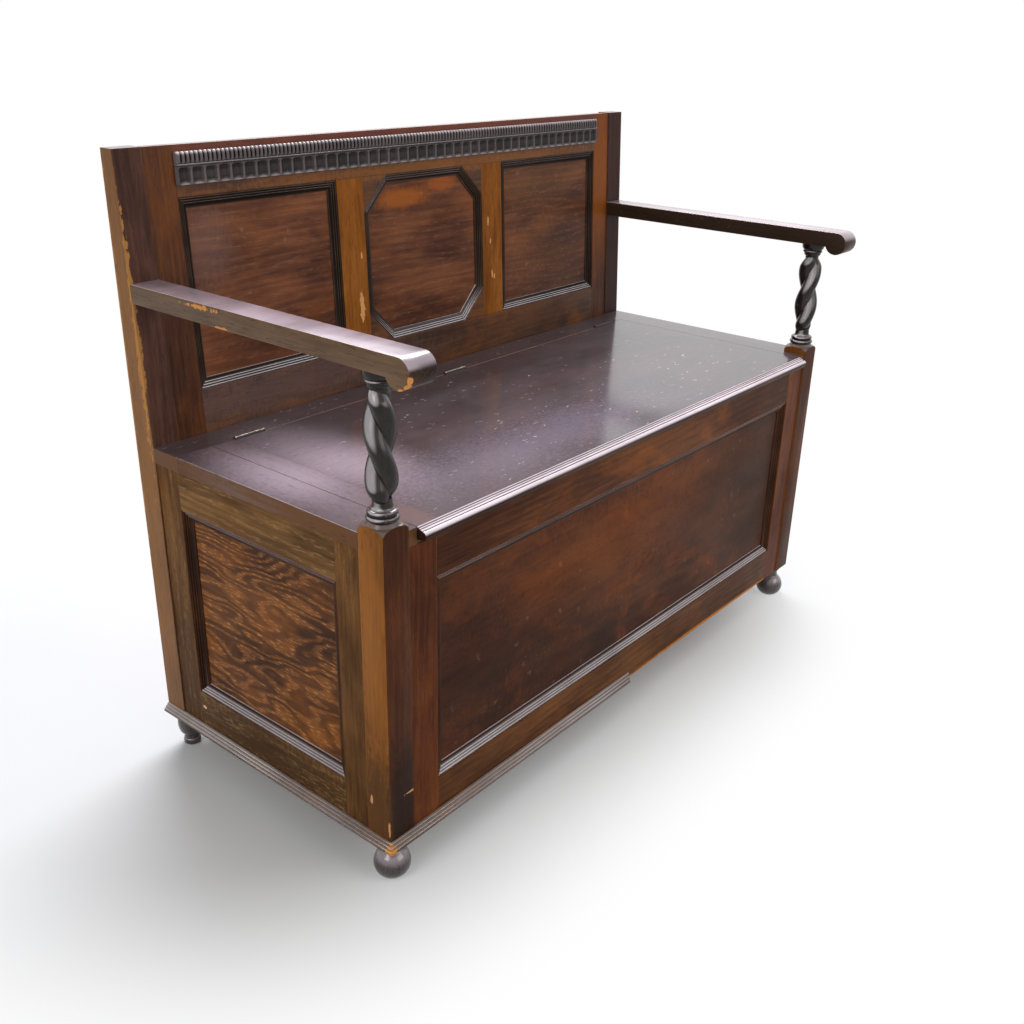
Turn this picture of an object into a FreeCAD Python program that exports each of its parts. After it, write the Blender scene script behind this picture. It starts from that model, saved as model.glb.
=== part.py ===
import FreeCAD, Part
import Sketcher
import math
import os

# A box settle in dark stained oak: a panelled chest with a hinged seat lid, a raked
# panelled back, and two arms carried on double barley twist posts. Millimetres.
# X runs along the seat, Y from the sitter's feet to the back, Z up from the floor.

document = FreeCAD.newDocument("Settle")
sheet = document.addObject("Spreadsheet::Sheet", "Sizes")

DRIVING_SIZES = [
    # Overall
    ("width", 1070, "outside of one pair of posts to the other"),
    ("depth", 470, "front of the front posts to the back of the rear posts"),
    ("seat_height", 485, "floor to the top of the seat"),
    ("back_height", 860, "floor to the top of the back"),
    ("arm_height", 700, "floor to the top of the arms"),
    ("foot_height", 60, "floor to the underside of the carcass"),
    # Timber
    ("post_square", 41, "side of the square front posts"),
    ("post_proud", 2, "how far the posts stand out from the frames between them"),
    ("frame_thickness", 22, "rails and stiles of the chest"),
    ("seat_thickness", 21, "lid and the fixed boards round it"),
    ("panel_thickness", 9, "chest panels"),
    ("groove_depth", 8, "panel grooves, and the stub tenons that share them"),
    ("fit_clearance", 0.2, "play of a panel, tenon or spigot in its seat"),
    # Front of the chest
    ("front_stile", 47, "width of the front stiles"),
    ("front_bottom_rail", 60, "height of the front bottom rail"),
    ("front_top_rail", 54, "height of the front top rail"),
    # Ends of the chest
    ("end_front_stile", 42, "width of the stile beside the front post"),
    ("end_rear_stile", 45, "width of the stile beside the rear post"),
    ("end_bottom_rail", 66, "height of the end bottom rails"),
    ("end_top_rail", 55, "height of the end top rails"),
    # Planted mouldings of the chest
    ("moulding_width", 16, "face of the chest panel mouldings"),
    ("moulding_depth", 9, "frame face to panel face on the chest"),
    ("base_moulding_height", 12, "base moulding, top to bottom"),
    ("base_moulding_reach", 9, "base moulding beyond the post faces"),
    ("base_moulding_left", 527, "what is left of the front base moulding, from the left corner"),
    ("base_moulding_break", 14, "slant of its broken end"),
    ("base_moulding_lost", 34, "what is missing from the front of the right base moulding"),
    # Back
    ("rear_post_depth", 40, "rear posts from the seat down"),
    ("rear_post_top", 23.5, "rear posts at the top"),
    ("back_setback", 1.5, "back frame behind the faces of the rear posts"),
    ("back_thickness", 20, "rails, stiles and muntins of the back"),
    ("back_panel_thickness", 7, "back panels"),
    ("back_stile", 44, "width of the back stiles"),
    ("back_muntin", 50, "width of the muntins"),
    ("back_top_rail", 64, "height of the back top rail"),
    ("back_bottom_rail", 59.5, "back bottom rail above the seat"),
    ("back_foot_gap", 1, "back frame above the chest rail that carries it"),
    ("back_moulding_width", 14, "face of the back panel mouldings"),
    ("back_moulding_depth", 7, "frame face to panel face on the back"),
    ("octagon_cant", 49, "corner of the centre opening that its block fills"),
    ("frieze_drop", 8, "top of the back to the top of the frieze"),
    ("frieze_height", 41, "carved frieze, top to bottom"),
    ("frieze_depth", 9, "carved frieze, thickness at its upper row"),
    ("frieze_band", 15, "height of the upper band"),
    ("frieze_fillet", 3, "plain fillet between the band and the flutes"),
    ("frieze_step", 2, "how far the flutes' face lies behind the band"),
    ("flute_depth", 3, "lower row flutes"),
    ("flute_land", 4, "flat between two flutes"),
    ("flute_pitch", 20.45, "flute to flute"),
    # Chest behind and below
    ("rear_rail_height", 50, "rail under the rear of the seat"),
    ("rear_rail_depth", 47, "the same rail, front to back"),
    ("rear_board_thickness", 9, "board that closes the chest behind"),
    ("rear_bottom_rail", 60, "rail at the foot of that board"),
    ("bottom_board_thickness", 12, "floor of the chest"),
    ("bottom_groove_depth", 6, "groove in the bottom rails that holds it"),
    ("bottom_board_lift", 12, "underside of the carcass to the floor board"),
    # Seat
    ("side_strip", 55.5, "fixed strip at each end of the seat, full width"),
    ("seat_rear_strip", 48.5, "fixed board behind the hinges"),
    ("lid_gap", 0.8, "gap all round the lid"),
    ("lid_rest", 0.3, "closed lid above the rails that it meets"),
    ("clamp_width", 35, "cross boards that clamp the lid's ends"),
    ("clamp_tongue", 7, "lid tongue in the clamps"),
    ("clamp_tongue_thickness", 7, "thickness of that tongue"),
    ("nosing_reach", 12, "nosing beyond the front of the posts"),
    ("nosing_height", 16, "nosing, top to bottom"),
    ("nosing_bead", 4.5, "radius of the nosing's round edge"),
    ("nosing_back", 3, "how far the nosing runs back onto the lid"),
    # Hinges
    ("hinge_length", 50, "butt hinges"),
    ("hinge_inset", 118, "outside of the settle to the middle of an end hinge"),
    ("hinge_rise", 0.5, "pin above the seat"),
    ("knuckle_radius", 3, "hinge knuckles"),
    ("pin_radius", 1.3, "hinge pins"),
    ("pin_clearance", 0.05, "pin to knuckle bore, on the radius"),
    ("knuckle_gap", 0.2, "between neighbouring knuckles"),
    ("knuckle_relief", 0.4, "timber cut clear of a knuckle"),
    ("leaf_thickness", 1.6, "hinge leaves"),
    ("leaf_height", 18, "hinge leaves, down the edges that they are let into"),
    # Arms
    ("arm_thickness", 24.5, "arms, top to underside"),
    ("arm_overhang", 45, "arm scroll beyond the front of the posts"),
    ("scroll_radius", 18, "rounded front end of the arms"),
    # Turned upper part of the front posts
    ("pummel_rise", 12, "seat to the corners of the square"),
    ("pummel_crown", 5, "corner of the square to the middle of its face"),
    ("ring_radius", 19.4, "lower ring"),
    ("ring_height", 6, "lower ring"),
    ("upper_ring_radius", 17.4, "upper ring"),
    ("upper_ring_height", 5, "upper ring"),
    ("dome_height", 7, "cushion over the rings"),
    ("neck_radius", 11.5, "neck under the twist"),
    ("neck_height", 4, "neck under the twist"),
    ("strand_radius", 11.5, "each strand of the twist"),
    ("strand_offset", 8, "strand centre from the post's axis"),
    ("twist_turns", 1, "turns of each strand"),
    ("twist_runout", 16, "length over which the strands draw in to the necks"),
    ("top_neck_radius", 9.5, "neck over the twist"),
    ("top_neck_height", 9, "neck over the twist"),
    ("bead_radius", 11.5, "small ring under the collar"),
    ("bead_height", 4, "small ring under the collar"),
    ("collar_radius", 17, "collar under the arm"),
    ("collar_height", 12, "flare and edge of the collar"),
    ("collar_edge", 4, "upright edge of the collar"),
    ("post_tenon_square", 16, "side of the post's stub tenon in the arm"),
    ("post_tenon_length", 16, "length of that tenon"),
    # Feet
    ("ball_radius", 24.4, "front feet"),
    ("ball_flat", 9, "radius of the worn flat under a ball"),
    ("foot_neck_radius", 13, "neck of the feet under the carcass"),
    ("foot_collar", 5, "upright part of that neck"),
    ("bulb_radius", 20, "upper bulb of the rear feet"),
    ("pad_radius", 14, "ringed pad of the rear feet"),
    ("pad_height", 20, "ringed pad of the rear feet"),
]

for row, (alias, value, note) in enumerate(DRIVING_SIZES, start=1):
    sheet.set(f"A{row}", alias)
    sheet.set(f"B{row}", str(value))
    sheet.set(f"C{row}", note)
    sheet.setAlias(f"B{row}", alias)
document.recompute()


class Size:
    """A length that carries its number and the sheet formula that gives it."""

    def __init__(self, number, text):
        self.number = float(number)
        self.text = text

    def __add__(self, other):
        other = size(other)
        return Size(self.number + other.number, f"({self.text} + {other.text})")

    def __sub__(self, other):
        other = size(other)
        return Size(self.number - other.number, f"({self.text} - {other.text})")

    def __mul__(self, other):
        other = size(other)
        return Size(self.number * other.number, f"({self.text} * {other.text})")

    def __truediv__(self, other):
        other = size(other)
        return Size(self.number / other.number, f"({self.text} / {other.text})")

    def __neg__(self):
        return Size(-self.number, f"(0 - {self.text})")


def size(value):
    return value if isinstance(value, Size) else Size(value, repr(float(value)))


def root(value):
    return Size(math.sqrt(value.number), f"sqrt({value.text})")


def sheet_size(alias):
    return Size(sheet.get(alias), f"Sizes.{alias}")


class Sizes:
    """Every driving size by its name."""


for alias, value, note in DRIVING_SIZES:
    setattr(Sizes, alias, sheet_size(alias))
S = Sizes

ZERO = size(0)
half_width = S.width / 2
# The origin is on the floor, midway between the arm scrolls and the back.
front = -(S.depth - S.arm_overhang) / 2
frame_front = front + S.post_proud
rear = front + S.depth
rear_post_front = rear - S.rear_post_depth
seat_under = S.seat_height - S.seat_thickness
arm_under = S.arm_height - S.arm_thickness
post_centre_x = half_width - S.post_square / 2
post_centre_y = front + S.post_square / 2
rear_centre_y = rear - S.rear_post_depth / 2
frame_inner_x = half_width - S.post_proud - S.frame_thickness
frame_inner_y = frame_front + S.frame_thickness
between_posts = half_width - S.post_square

# The rear posts lean back above the seat: this is how far, per millimetre of height.
rake = (S.rear_post_depth - S.rear_post_top) / (S.back_height - S.seat_height)
lean = Size(-math.degrees(math.atan(rake.number)), f"atan(0 - {rake.text})")

sub_parts = {}


def origin_plane(body, role):
    return next(item for item in body.Origin.OriginFeatures if item.Role == role)


def new_body(label):
    body = document.addObject("PartDesign::Body", label)
    body.Label = label
    sub_parts[label] = body
    return body


def place(item, x=ZERO, y=ZERO, z=ZERO, axis=(0, 0, 1), angle=None):
    """Bind an object's place, and its turn about one axis, to the sheet."""
    item.Placement.Rotation = FreeCAD.Rotation(FreeCAD.Vector(*axis), 1 if angle else 0)
    for letter, distance in zip("xyz", (x, y, z)):
        item.setExpression(f"Placement.Base.{letter}", distance.text)
    if angle:
        item.setExpression("Placement.Rotation.Angle", angle.text)


def new_sketch(body, role, offset=ZERO, turn=None):
    """A sketch on one of the body's own origin planes, moved along its normal."""
    sketch = body.newObject("Sketcher::SketchObject", "Sketch")
    sketch.AttachmentSupport = [(origin_plane(body, role), "")]
    sketch.MapMode = "FlatFace"
    sketch.setExpression("AttachmentOffset.Base.z", offset.text)
    if turn:
        sketch.AttachmentOffset = FreeCAD.Placement(
            FreeCAD.Vector(0, 0, offset.number), FreeCAD.Rotation(FreeCAD.Vector(0, 0, 1), 1)
        )
        sketch.setExpression("AttachmentOffset.Rotation.Angle", turn.text)
    return sketch


def arc_between(start, end, radius, side):
    """The short arc from start to end; its centre is to the left of the way for side 1."""
    chord = end - start
    rise = math.sqrt(max(radius**2 - (chord.Length / 2) ** 2, 0))
    left = FreeCAD.Vector(-chord.y, chord.x, 0).normalize()
    centre = (start + end) * 0.5 + left * rise * side
    first, last = (start, end) if side > 0 else (end, start)
    angle_a = math.atan2(first.y - centre.y, first.x - centre.x)
    angle_b = math.atan2(last.y - centre.y, last.x - centre.x)
    if angle_b <= angle_a:
        angle_b += 2 * math.pi
    circle = Part.Circle(centre, FreeCAD.Vector(0, 0, 1), radius)
    return Part.ArcOfCircle(circle, angle_a, angle_b)


def draw(sketch, outline):
    """Draw a closed outline whose corners, and arc radii, are bound to the sheet.

    A corner is (across, up), or (across, up, radius, side) where an arc leaves it.
    """
    first = sketch.GeometryCount
    ends = []
    count = len(outline)
    for index, corner in enumerate(outline):
        following = outline[(index + 1) % count]
        start = FreeCAD.Vector(size(corner[0]).number, size(corner[1]).number, 0)
        end = FreeCAD.Vector(size(following[0]).number, size(following[1]).number, 0)
        if len(corner) == 2:
            sketch.addGeometry(Part.LineSegment(start, end), False)
            ends.append((1, 2))
        else:
            sketch.addGeometry(arc_between(start, end, size(corner[2]).number, corner[3]), False)
            ends.append((1, 2) if corner[3] > 0 else (2, 1))
    for index in range(count):
        following = (index + 1) % count
        link = Sketcher.Constraint(
            "Coincident", first + index, ends[index][1], first + following, ends[following][0]
        )
        sketch.addConstraint(link)
    for index, corner in enumerate(outline):
        for kind, distance in (("DistanceX", size(corner[0])), ("DistanceY", size(corner[1]))):
            datum = Sketcher.Constraint(kind, -1, 1, first + index, ends[index][0], distance.number)
            bind(sketch, datum, distance)
        if len(corner) == 4:
            datum = Sketcher.Constraint("Radius", first + index, size(corner[2]).number)
            bind(sketch, datum, size(corner[2]))


def bind(sketch, datum, distance):
    number = sketch.addConstraint(datum)
    if "Sizes" in distance.text:
        sketch.setExpression(f"Constraints[{number}]", distance.text)


def box_outline(low_u, high_u, low_v, high_v):
    return [(low_u, low_v), (high_u, low_v), (high_u, high_v), (low_u, high_v)]


def pad(body, sketch, length, reverse=False):
    feature = body.newObject("PartDesign::Pad", "Pad")
    feature.Profile = sketch
    feature.Reversed = reverse
    feature.setExpression("Length", length.text)
    return feature


def pocket(body, sketch, length, reverse=False):
    feature = body.newObject("PartDesign::Pocket", "Pocket")
    feature.Profile = sketch
    feature.Reversed = reverse
    feature.setExpression("Length", length.text)
    return feature


def turned(body, kind, sketch):
    """A revolution or groove about the vertical axis of the sketch."""
    feature = body.newObject(kind, "Turning")
    feature.Profile = sketch
    feature.ReferenceAxis = (sketch, ["V_Axis"])
    feature.Angle = 360
    return feature


def upright_block(body, low_x, high_x, low_y, high_y, low_z, high_z):
    sketch = new_sketch(body, "XY_Plane", low_z)
    draw(sketch, box_outline(low_x, high_x, low_y, high_y))
    return pad(body, sketch, high_z - low_z)


def cut_block(body, low_x, high_x, low_y, high_y, low_z, high_z):
    sketch = new_sketch(body, "XY_Plane", low_z)
    draw(sketch, box_outline(low_x, high_x, low_y, high_y))
    return pocket(body, sketch, high_z - low_z, reverse=True)


# Framed panels. In a frame's own coordinates x runs along it, y goes in from its
# face and z is up. One groove, as wide as the panel, runs round the inner edges;
# the rails' stub tenons fill it where they meet the stiles.


def grooved_section(low, high, thickness, groove, grooved_low, grooved_high):
    """Section across a rail or stile as (depth, width) corners."""
    groove_front, groove_back, groove_depth = groove
    corners = [(ZERO, low)]
    corners += [(ZERO, high)]
    if grooved_high:
        corners += [(groove_front, high), (groove_front, high - groove_depth)]
        corners += [(groove_back, high - groove_depth), (groove_back, high)]
    corners += [(thickness, high), (thickness, low)]
    if grooved_low:
        corners += [(groove_back, low), (groove_back, low + groove_depth)]
        corners += [(groove_front, low + groove_depth), (groove_front, low)]
    return corners


def frame_rail(label, spot, left, right, low, high, thickness, groove, edges):
    """A rail between two stiles; edges names its grooved edges, 'low' or 'high'."""
    body = new_body(label)
    place(body, **spot)
    section = new_sketch(body, "YZ_Plane", left)
    draw(section, grooved_section(low, high, thickness, groove, "low" in edges, "high" in edges))
    pad(body, section, right - left)
    groove_front, groove_back, groove_depth = groove
    tenon_low = low + groove_depth if "low" in edges else low
    tenon_high = high - groove_depth if "high" in edges else high
    reach = groove_depth - S.fit_clearance
    tenon = new_sketch(body, "YZ_Plane", left - reach)
    tenon_back = groove_back - S.fit_clearance
    draw(tenon, box_outline(groove_front, tenon_back, tenon_low, tenon_high))
    pad(body, tenon, right - left + reach * 2)
    return body


def frame_stile(label, spot, left, right, low, high, thickness, groove, edges):
    """A stile or muntin; edges names its grooved edges, 'left' or 'right'."""
    body = new_body(label)
    place(body, **spot)
    section = new_sketch(body, "XY_Plane", low)
    corners = grooved_section(left, right, thickness, groove, "left" in edges, "right" in edges)
    draw(section, [(across, depth) for depth, across in corners])
    pad(body, section, high - low)
    return body


def frame_panel(label, spot, left, right, low, high, groove):
    """A panel that reaches into the grooves round its opening."""
    groove_front, groove_back, groove_depth = groove
    reach = groove_depth - S.fit_clearance
    body = new_body(label)
    place(body, **spot)
    face = new_sketch(body, "XZ_Plane", -groove_front)
    draw(face, box_outline(left - reach, right + reach, low - reach, high + reach))
    pad(body, face, groove_back - S.fit_clearance - groove_front, reverse=True)
    return body


def planted_profile(width, depth):
    """Section of a planted moulding: (in from the opening's edge, up from the panel)."""
    return [
        (0.0, 0.0),
        (0.0, depth * 0.94),
        (width * 0.14, depth * 0.94),
        (width * 0.22, depth * 0.72),
        (width * 0.48, depth * 0.58),
        (width * 0.76, depth * 0.20),
        (width * 0.90, depth * 0.32),
        (width, 0.0),
    ]


def mitred_moulding(label, body_like, corners, width, panel_face, profile):
    """Lengths of moulding mitred round an opening, one separate solid to each side.

    corners run anticlockwise seen from the front, as (x, z) in the frame's coordinates.
    """
    count = len(corners)
    sections = []
    for index in range(count):
        here = FreeCAD.Vector(*corners[index])
        before = (here - FreeCAD.Vector(*corners[index - 1])).normalize()
        after = (FreeCAD.Vector(*corners[(index + 1) % count]) - here).normalize()
        inward_before = FreeCAD.Vector(-before.y, before.x, 0)
        inward_after = FreeCAD.Vector(-after.y, after.x, 0)
        mitre = (inward_before + inward_after) / (1 + inward_before.dot(inward_after))
        points = []
        for across, up in profile:
            spot = here + mitre * across
            points.append(FreeCAD.Vector(spot.x, panel_face - up, spot.y))
        sections.append(Part.makePolygon(points + [points[0]]))
    lengths = []
    for index in range(count):
        pair = [sections[index], sections[(index + 1) % count]]
        lengths.append(Part.makeLoft(pair, True, True))
    moulding = document.addObject("Part::Feature", label)
    moulding.Label = label
    moulding.Shape = Part.makeCompound(lengths)
    moulding.Placement = body_like.Placement
    sub_parts[label] = moulding
    return moulding


def rectangle_corners(left, right, low, high):
    corners = [(left, low), (right, low), (right, high), (left, high)]
    return [(x.number, z.number) for x, z in corners]


chest_groove = (
    S.moulding_depth,
    S.moulding_depth + S.panel_thickness + S.fit_clearance,
    S.groove_depth,
)
board_low = S.foot_height + S.bottom_board_lift
board_high = board_low + S.bottom_board_thickness


def house_bottom_board(body, left, right, face):
    """Groove along the inside of a bottom rail for the floor of the chest."""
    deep = face - S.bottom_groove_depth
    return cut_block(body, left, right, deep, face, board_low, board_high + S.fit_clearance)


# Front of the chest: two stiles, two rails, one long panel.
front_spot = dict(y=frame_front)
opening_left = -between_posts + S.front_stile
opening_right = between_posts - S.front_stile
opening_low = S.foot_height + S.front_bottom_rail
opening_high = seat_under - S.lid_rest - S.front_top_rail
front_stile_span = (S.foot_height, seat_under - S.lid_rest)

frame_stile("front_left_stile", front_spot, -between_posts, opening_left,
            *front_stile_span, S.frame_thickness, chest_groove, ["right"])
frame_stile("front_right_stile", front_spot, opening_right, between_posts,
            *front_stile_span, S.frame_thickness, chest_groove, ["left"])
frame_rail("front_top_rail", front_spot, opening_left, opening_right,
           opening_high, seat_under - S.lid_rest, S.frame_thickness, chest_groove, ["low"])
front_bottom = frame_rail("front_bottom_rail", front_spot, opening_left, opening_right,
                          S.foot_height, opening_low, S.frame_thickness, chest_groove, ["high"])
house_bottom_board(front_bottom, -between_posts, between_posts, S.frame_thickness)
for label in ("front_left_stile", "front_right_stile"):
    house_bottom_board(sub_parts[label], -between_posts, between_posts, S.frame_thickness)
front_panel = frame_panel("front_panel", front_spot, opening_left, opening_right,
                          opening_low, opening_high, chest_groove)
document.recompute()
mitred_moulding(
    "front_panel_moulding", front_panel,
    rectangle_corners(opening_left, opening_right, opening_low, opening_high),
    S.moulding_width.number, S.moulding_depth.number,
    planted_profile(S.moulding_width.number, S.moulding_depth.number),
)

# Ends of the chest, seen from outside. The left end runs from the rear post to the
# front post, the right end the other way.
end_length = rear_post_front - front - S.post_square
quarter = size(90)
end_spots = {
    "left": dict(x=-half_width + S.post_proud, y=rear_post_front, angle=-quarter),
    "right": dict(x=half_width - S.post_proud, y=front + S.post_square, angle=quarter),
}
for side, spot in end_spots.items():
    first, last = ("rear", "front") if side == "left" else ("front", "rear")
    widths = {"front": S.end_front_stile, "rear": S.end_rear_stile}
    left = widths[first]
    right = end_length - widths[last]
    low = S.foot_height + S.end_bottom_rail
    high = seat_under - S.end_top_rail
    frame_stile(f"{side}_end_{first}_stile", spot, ZERO, left,
                S.foot_height, seat_under, S.frame_thickness, chest_groove, ["right"])
    frame_stile(f"{side}_end_{last}_stile", spot, right, end_length,
                S.foot_height, seat_under, S.frame_thickness, chest_groove, ["left"])
    frame_rail(f"{side}_end_top_rail", spot, left, right,
               high, seat_under, S.frame_thickness, chest_groove, ["low"])
    frame_rail(f"{side}_end_bottom_rail", spot, left, right,
               S.foot_height, low, S.frame_thickness, chest_groove, ["high"])
    for member in ("front_stile", "rear_stile", "bottom_rail"):
        house_bottom_board(sub_parts[f"{side}_end_{member}"], ZERO, end_length, S.frame_thickness)
    panel = frame_panel(f"{side}_end_panel", spot, left, right, low, high, chest_groove)
    document.recompute()
    mitred_moulding(
        f"{side}_end_moulding", panel, rectangle_corners(left, right, low, high),
        S.moulding_width.number, S.moulding_depth.number,
        planted_profile(S.moulding_width.number, S.moulding_depth.number),
    )

# Back of the chest: a rail that carries the seat and the back frame, a rail at the
# foot, and a plain board nailed on behind them.
rear_rail_front = rear - S.rear_board_thickness - S.rear_rail_depth
rear_rail = new_body("rear_seat_rail")
upright_block(rear_rail, -between_posts, between_posts, rear_rail_front,
              rear - S.rear_board_thickness, seat_under - S.rear_rail_height, seat_under)
rear_foot_rail = new_body("rear_bottom_rail")
upright_block(rear_foot_rail, -between_posts, between_posts, rear_post_front,
              rear - S.rear_board_thickness, S.foot_height, S.foot_height + S.rear_bottom_rail)
cut_block(rear_foot_rail, -between_posts, between_posts, rear_post_front,
          rear_post_front + S.bottom_groove_depth, board_low, board_high + S.fit_clearance)
rear_board = new_body("rear_board")
upright_block(rear_board, -between_posts, between_posts, rear - S.rear_board_thickness, rear,
              S.foot_height, seat_under)

# Floor of the chest, notched round the four posts.
bottom_board = new_body("bottom_board")
board_x = frame_inner_x + S.bottom_groove_depth - S.fit_clearance
board_front = frame_inner_y - S.bottom_groove_depth + S.fit_clearance
board_rear = rear_post_front + S.bottom_groove_depth - S.fit_clearance
notch_x = between_posts - S.fit_clearance
notch_front = front + S.post_square + S.fit_clearance
notch_rear = rear_post_front - S.fit_clearance
board_sketch = new_sketch(bottom_board, "XY_Plane", board_low)
draw(board_sketch, [
    (-notch_x, board_front), (notch_x, board_front),
    (notch_x, notch_front), (board_x, notch_front),
    (board_x, notch_rear), (notch_x, notch_rear),
    (notch_x, board_rear), (-notch_x, board_rear),
    (-notch_x, notch_rear), (-board_x, notch_rear),
    (-board_x, notch_front), (-notch_x, notch_front),
])
pad(bottom_board, board_sketch, S.bottom_board_thickness)

# Rear posts: upright behind, raked in front above the seat.
for side, low_x in (("left", -half_width), ("right", between_posts)):
    post = new_body(f"{side}_rear_post")
    profile = new_sketch(post, "YZ_Plane", low_x)
    draw(profile, [
        (rear_post_front, S.foot_height), (rear, S.foot_height), (rear, S.back_height),
        (rear - S.rear_post_top, S.back_height), (rear_post_front, S.seat_height),
    ])
    pad(post, profile, S.post_square)
    outer = low_x if side == "left" else half_width - S.post_proud
    cut_block(post, outer, outer + S.post_proud, rear_post_front, rear,
              S.foot_height, S.foot_height + S.base_moulding_height)

# Back frame. Its coordinates lie in the raked plane, with z up the slope from the
# seat; the same place and turn hold for every piece of it.
back_spot = dict(
    y=rear_post_front + S.back_setback, z=S.seat_height, axis=(1, 0, 0), angle=lean
)
back_groove = (
    S.back_moulding_depth,
    S.back_moulding_depth + S.back_panel_thickness + S.fit_clearance,
    S.groove_depth,
)
back_foot = S.back_foot_gap - S.seat_thickness
back_top = S.back_height - S.seat_height
back_low = S.back_bottom_rail
back_high = back_top - S.back_top_rail
back_left = -between_posts + S.back_stile
back_right = between_posts - S.back_stile
back_opening = (back_right - back_left - S.back_muntin * 2) / 3

frame_stile("back_left_stile", back_spot, -between_posts, back_left,
            back_foot, back_top, S.back_thickness, back_groove, ["right"])
frame_stile("back_right_stile", back_spot, back_right, between_posts,
            back_foot, back_top, S.back_thickness, back_groove, ["left"])
frame_rail("back_top_rail", back_spot, back_left, back_right,
           back_high, back_top, S.back_thickness, back_groove, ["low"])
frame_rail("back_bottom_rail", back_spot, back_left, back_right,
           back_foot, back_low, S.back_thickness, back_groove, ["high"])


def back_muntin(label, left):
    """An upright between the two back rails, with stub tenons in their grooves."""
    body = new_body(label)
    place(body, **back_spot)
    right = left + S.back_muntin
    section = new_sketch(body, "XY_Plane", back_low)
    corners = grooved_section(left, right, S.back_thickness, back_groove, True, True)
    draw(section, [(across, depth) for depth, across in corners])
    pad(body, section, back_high - back_low)
    reach = S.groove_depth - S.fit_clearance
    tenon = new_sketch(body, "XY_Plane", back_low - reach)
    draw(tenon, box_outline(left + S.groove_depth, right - S.groove_depth,
                            back_groove[0], back_groove[1] - S.fit_clearance))
    pad(body, tenon, back_high - back_low + reach * 2)
    return body


back_muntin("back_left_muntin", back_left + back_opening)
back_muntin("back_right_muntin", back_right - back_opening - S.back_muntin)

back_openings = {}
for place_name, index in (("left", 0), ("centre", 1), ("right", 2)):
    opening_start = back_left + (back_opening + S.back_muntin) * index
    back_openings[place_name] = (opening_start, opening_start + back_opening)

for place_name, (left, right) in back_openings.items():
    panel = frame_panel(f"back_{place_name}_panel", back_spot, left, right,
                        back_low, back_high, back_groove)
    document.recompute()
    corners = rectangle_corners(left, right, back_low, back_high)
    if place_name == "centre":
        cant = S.octagon_cant.number
        (x0, z0), (x1, _), (_, z1), _ = corners
        corners = [
            (x0 + cant, z0), (x1 - cant, z0), (x1, z0 + cant), (x1, z1 - cant),
            (x1 - cant, z1), (x0 + cant, z1), (x0, z1 - cant), (x0, z0 + cant),
        ]
    mitred_moulding(
        f"back_{place_name}_moulding", panel, corners,
        S.back_moulding_width.number, S.back_moulding_depth.number,
        planted_profile(S.back_moulding_width.number, S.back_moulding_depth.number),
    )

# Four triangular blocks turn the centre opening into an octagon.
left, right = back_openings["centre"]
blocks = []
for corner_x, step_x in ((left, 1), (right, -1)):
    for corner_z, step_z in ((back_low, 1), (back_high, -1)):
        x, z = corner_x.number, corner_z.number
        cant = S.octagon_cant.number
        outline = [(x, z), (x + step_x * cant, z), (x, z + step_z * cant), (x, z)]
        wire = Part.makePolygon([FreeCAD.Vector(u, 0, v) for u, v in outline])
        depth = FreeCAD.Vector(0, S.back_moulding_depth.number, 0)
        blocks.append(Part.Face(wire).extrude(depth))
corner_blocks = document.addObject("Part::Feature", "back_corner_blocks")
corner_blocks.Label = "back_corner_blocks"
corner_blocks.Shape = Part.makeCompound(blocks)
corner_blocks.Placement = panel.Placement
sub_parts["back_corner_blocks"] = corner_blocks

# Carved frieze, planted on the top rail: a row of flutes under a plain upper band,
# which the fine beads are cut in.
frieze = new_body("frieze")
place(frieze, **back_spot)
frieze_top = back_top - S.frieze_drop
frieze_low = frieze_top - S.frieze_height
band_low = frieze_top - S.frieze_band
flutes_high = band_low - S.frieze_fillet
lower_face = -(S.frieze_depth - S.frieze_step)
frieze_section = new_sketch(frieze, "YZ_Plane", back_left)
draw(frieze_section, [
    (ZERO, frieze_low), (ZERO, frieze_top),
    (-S.frieze_depth, frieze_top), (-S.frieze_depth, band_low),
    (lower_face, band_low), (lower_face, frieze_low),
])
pad(frieze, frieze_section, back_right - back_left)

frieze_length = back_right - back_left
flute_count = round(frieze_length.number / S.flute_pitch.number)
flute_step = frieze_length / flute_count
flute_width = flute_step - S.flute_land


def repeat_along(body, feature, length, count):
    pattern = body.newObject("PartDesign::LinearPattern", "Row")
    pattern.Originals = [feature]
    pattern.Direction = (origin_axis(body, "X_Axis"), [""])
    pattern.Mode = "Extent"
    pattern.Occurrences = count
    pattern.setExpression("Length", length.text)
    body.Tip = pattern
    return pattern


def origin_axis(body, role):
    return next(item for item in body.Origin.OriginFeatures if item.Role == role)


flute_sketch = new_sketch(frieze, "XY_Plane", frieze_low)
flute_start = back_left + S.flute_land / 2
flute_back = lower_face + S.flute_depth
draw(flute_sketch, [
    (flute_start, lower_face), (flute_start + flute_width, lower_face),
    (flute_start + flute_width * 0.72, flute_back),
    (flute_start + flute_width * 0.28, flute_back),
])
flute = pocket(frieze, flute_sketch, flutes_high - frieze_low, reverse=True)
repeat_along(frieze, flute, frieze_length - flute_step, flute_count)

# Base moulding, planted round the foot of the chest.
moulding_top = S.foot_height + S.base_moulding_height
reach = S.base_moulding_reach + S.post_proud
base_profile = [
    (ZERO, ZERO), (reach, ZERO), (reach, S.base_moulding_height * 0.28),
    (reach * 0.80, S.base_moulding_height * 0.42), (reach * 0.52, S.base_moulding_height * 0.58),
    (reach * 0.26, S.base_moulding_height * 0.86), (reach * 0.14, S.base_moulding_height * 0.88),
    (reach * 0.14, S.base_moulding_height), (ZERO, S.base_moulding_height),
]
corner_x = half_width - S.post_proud


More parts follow.
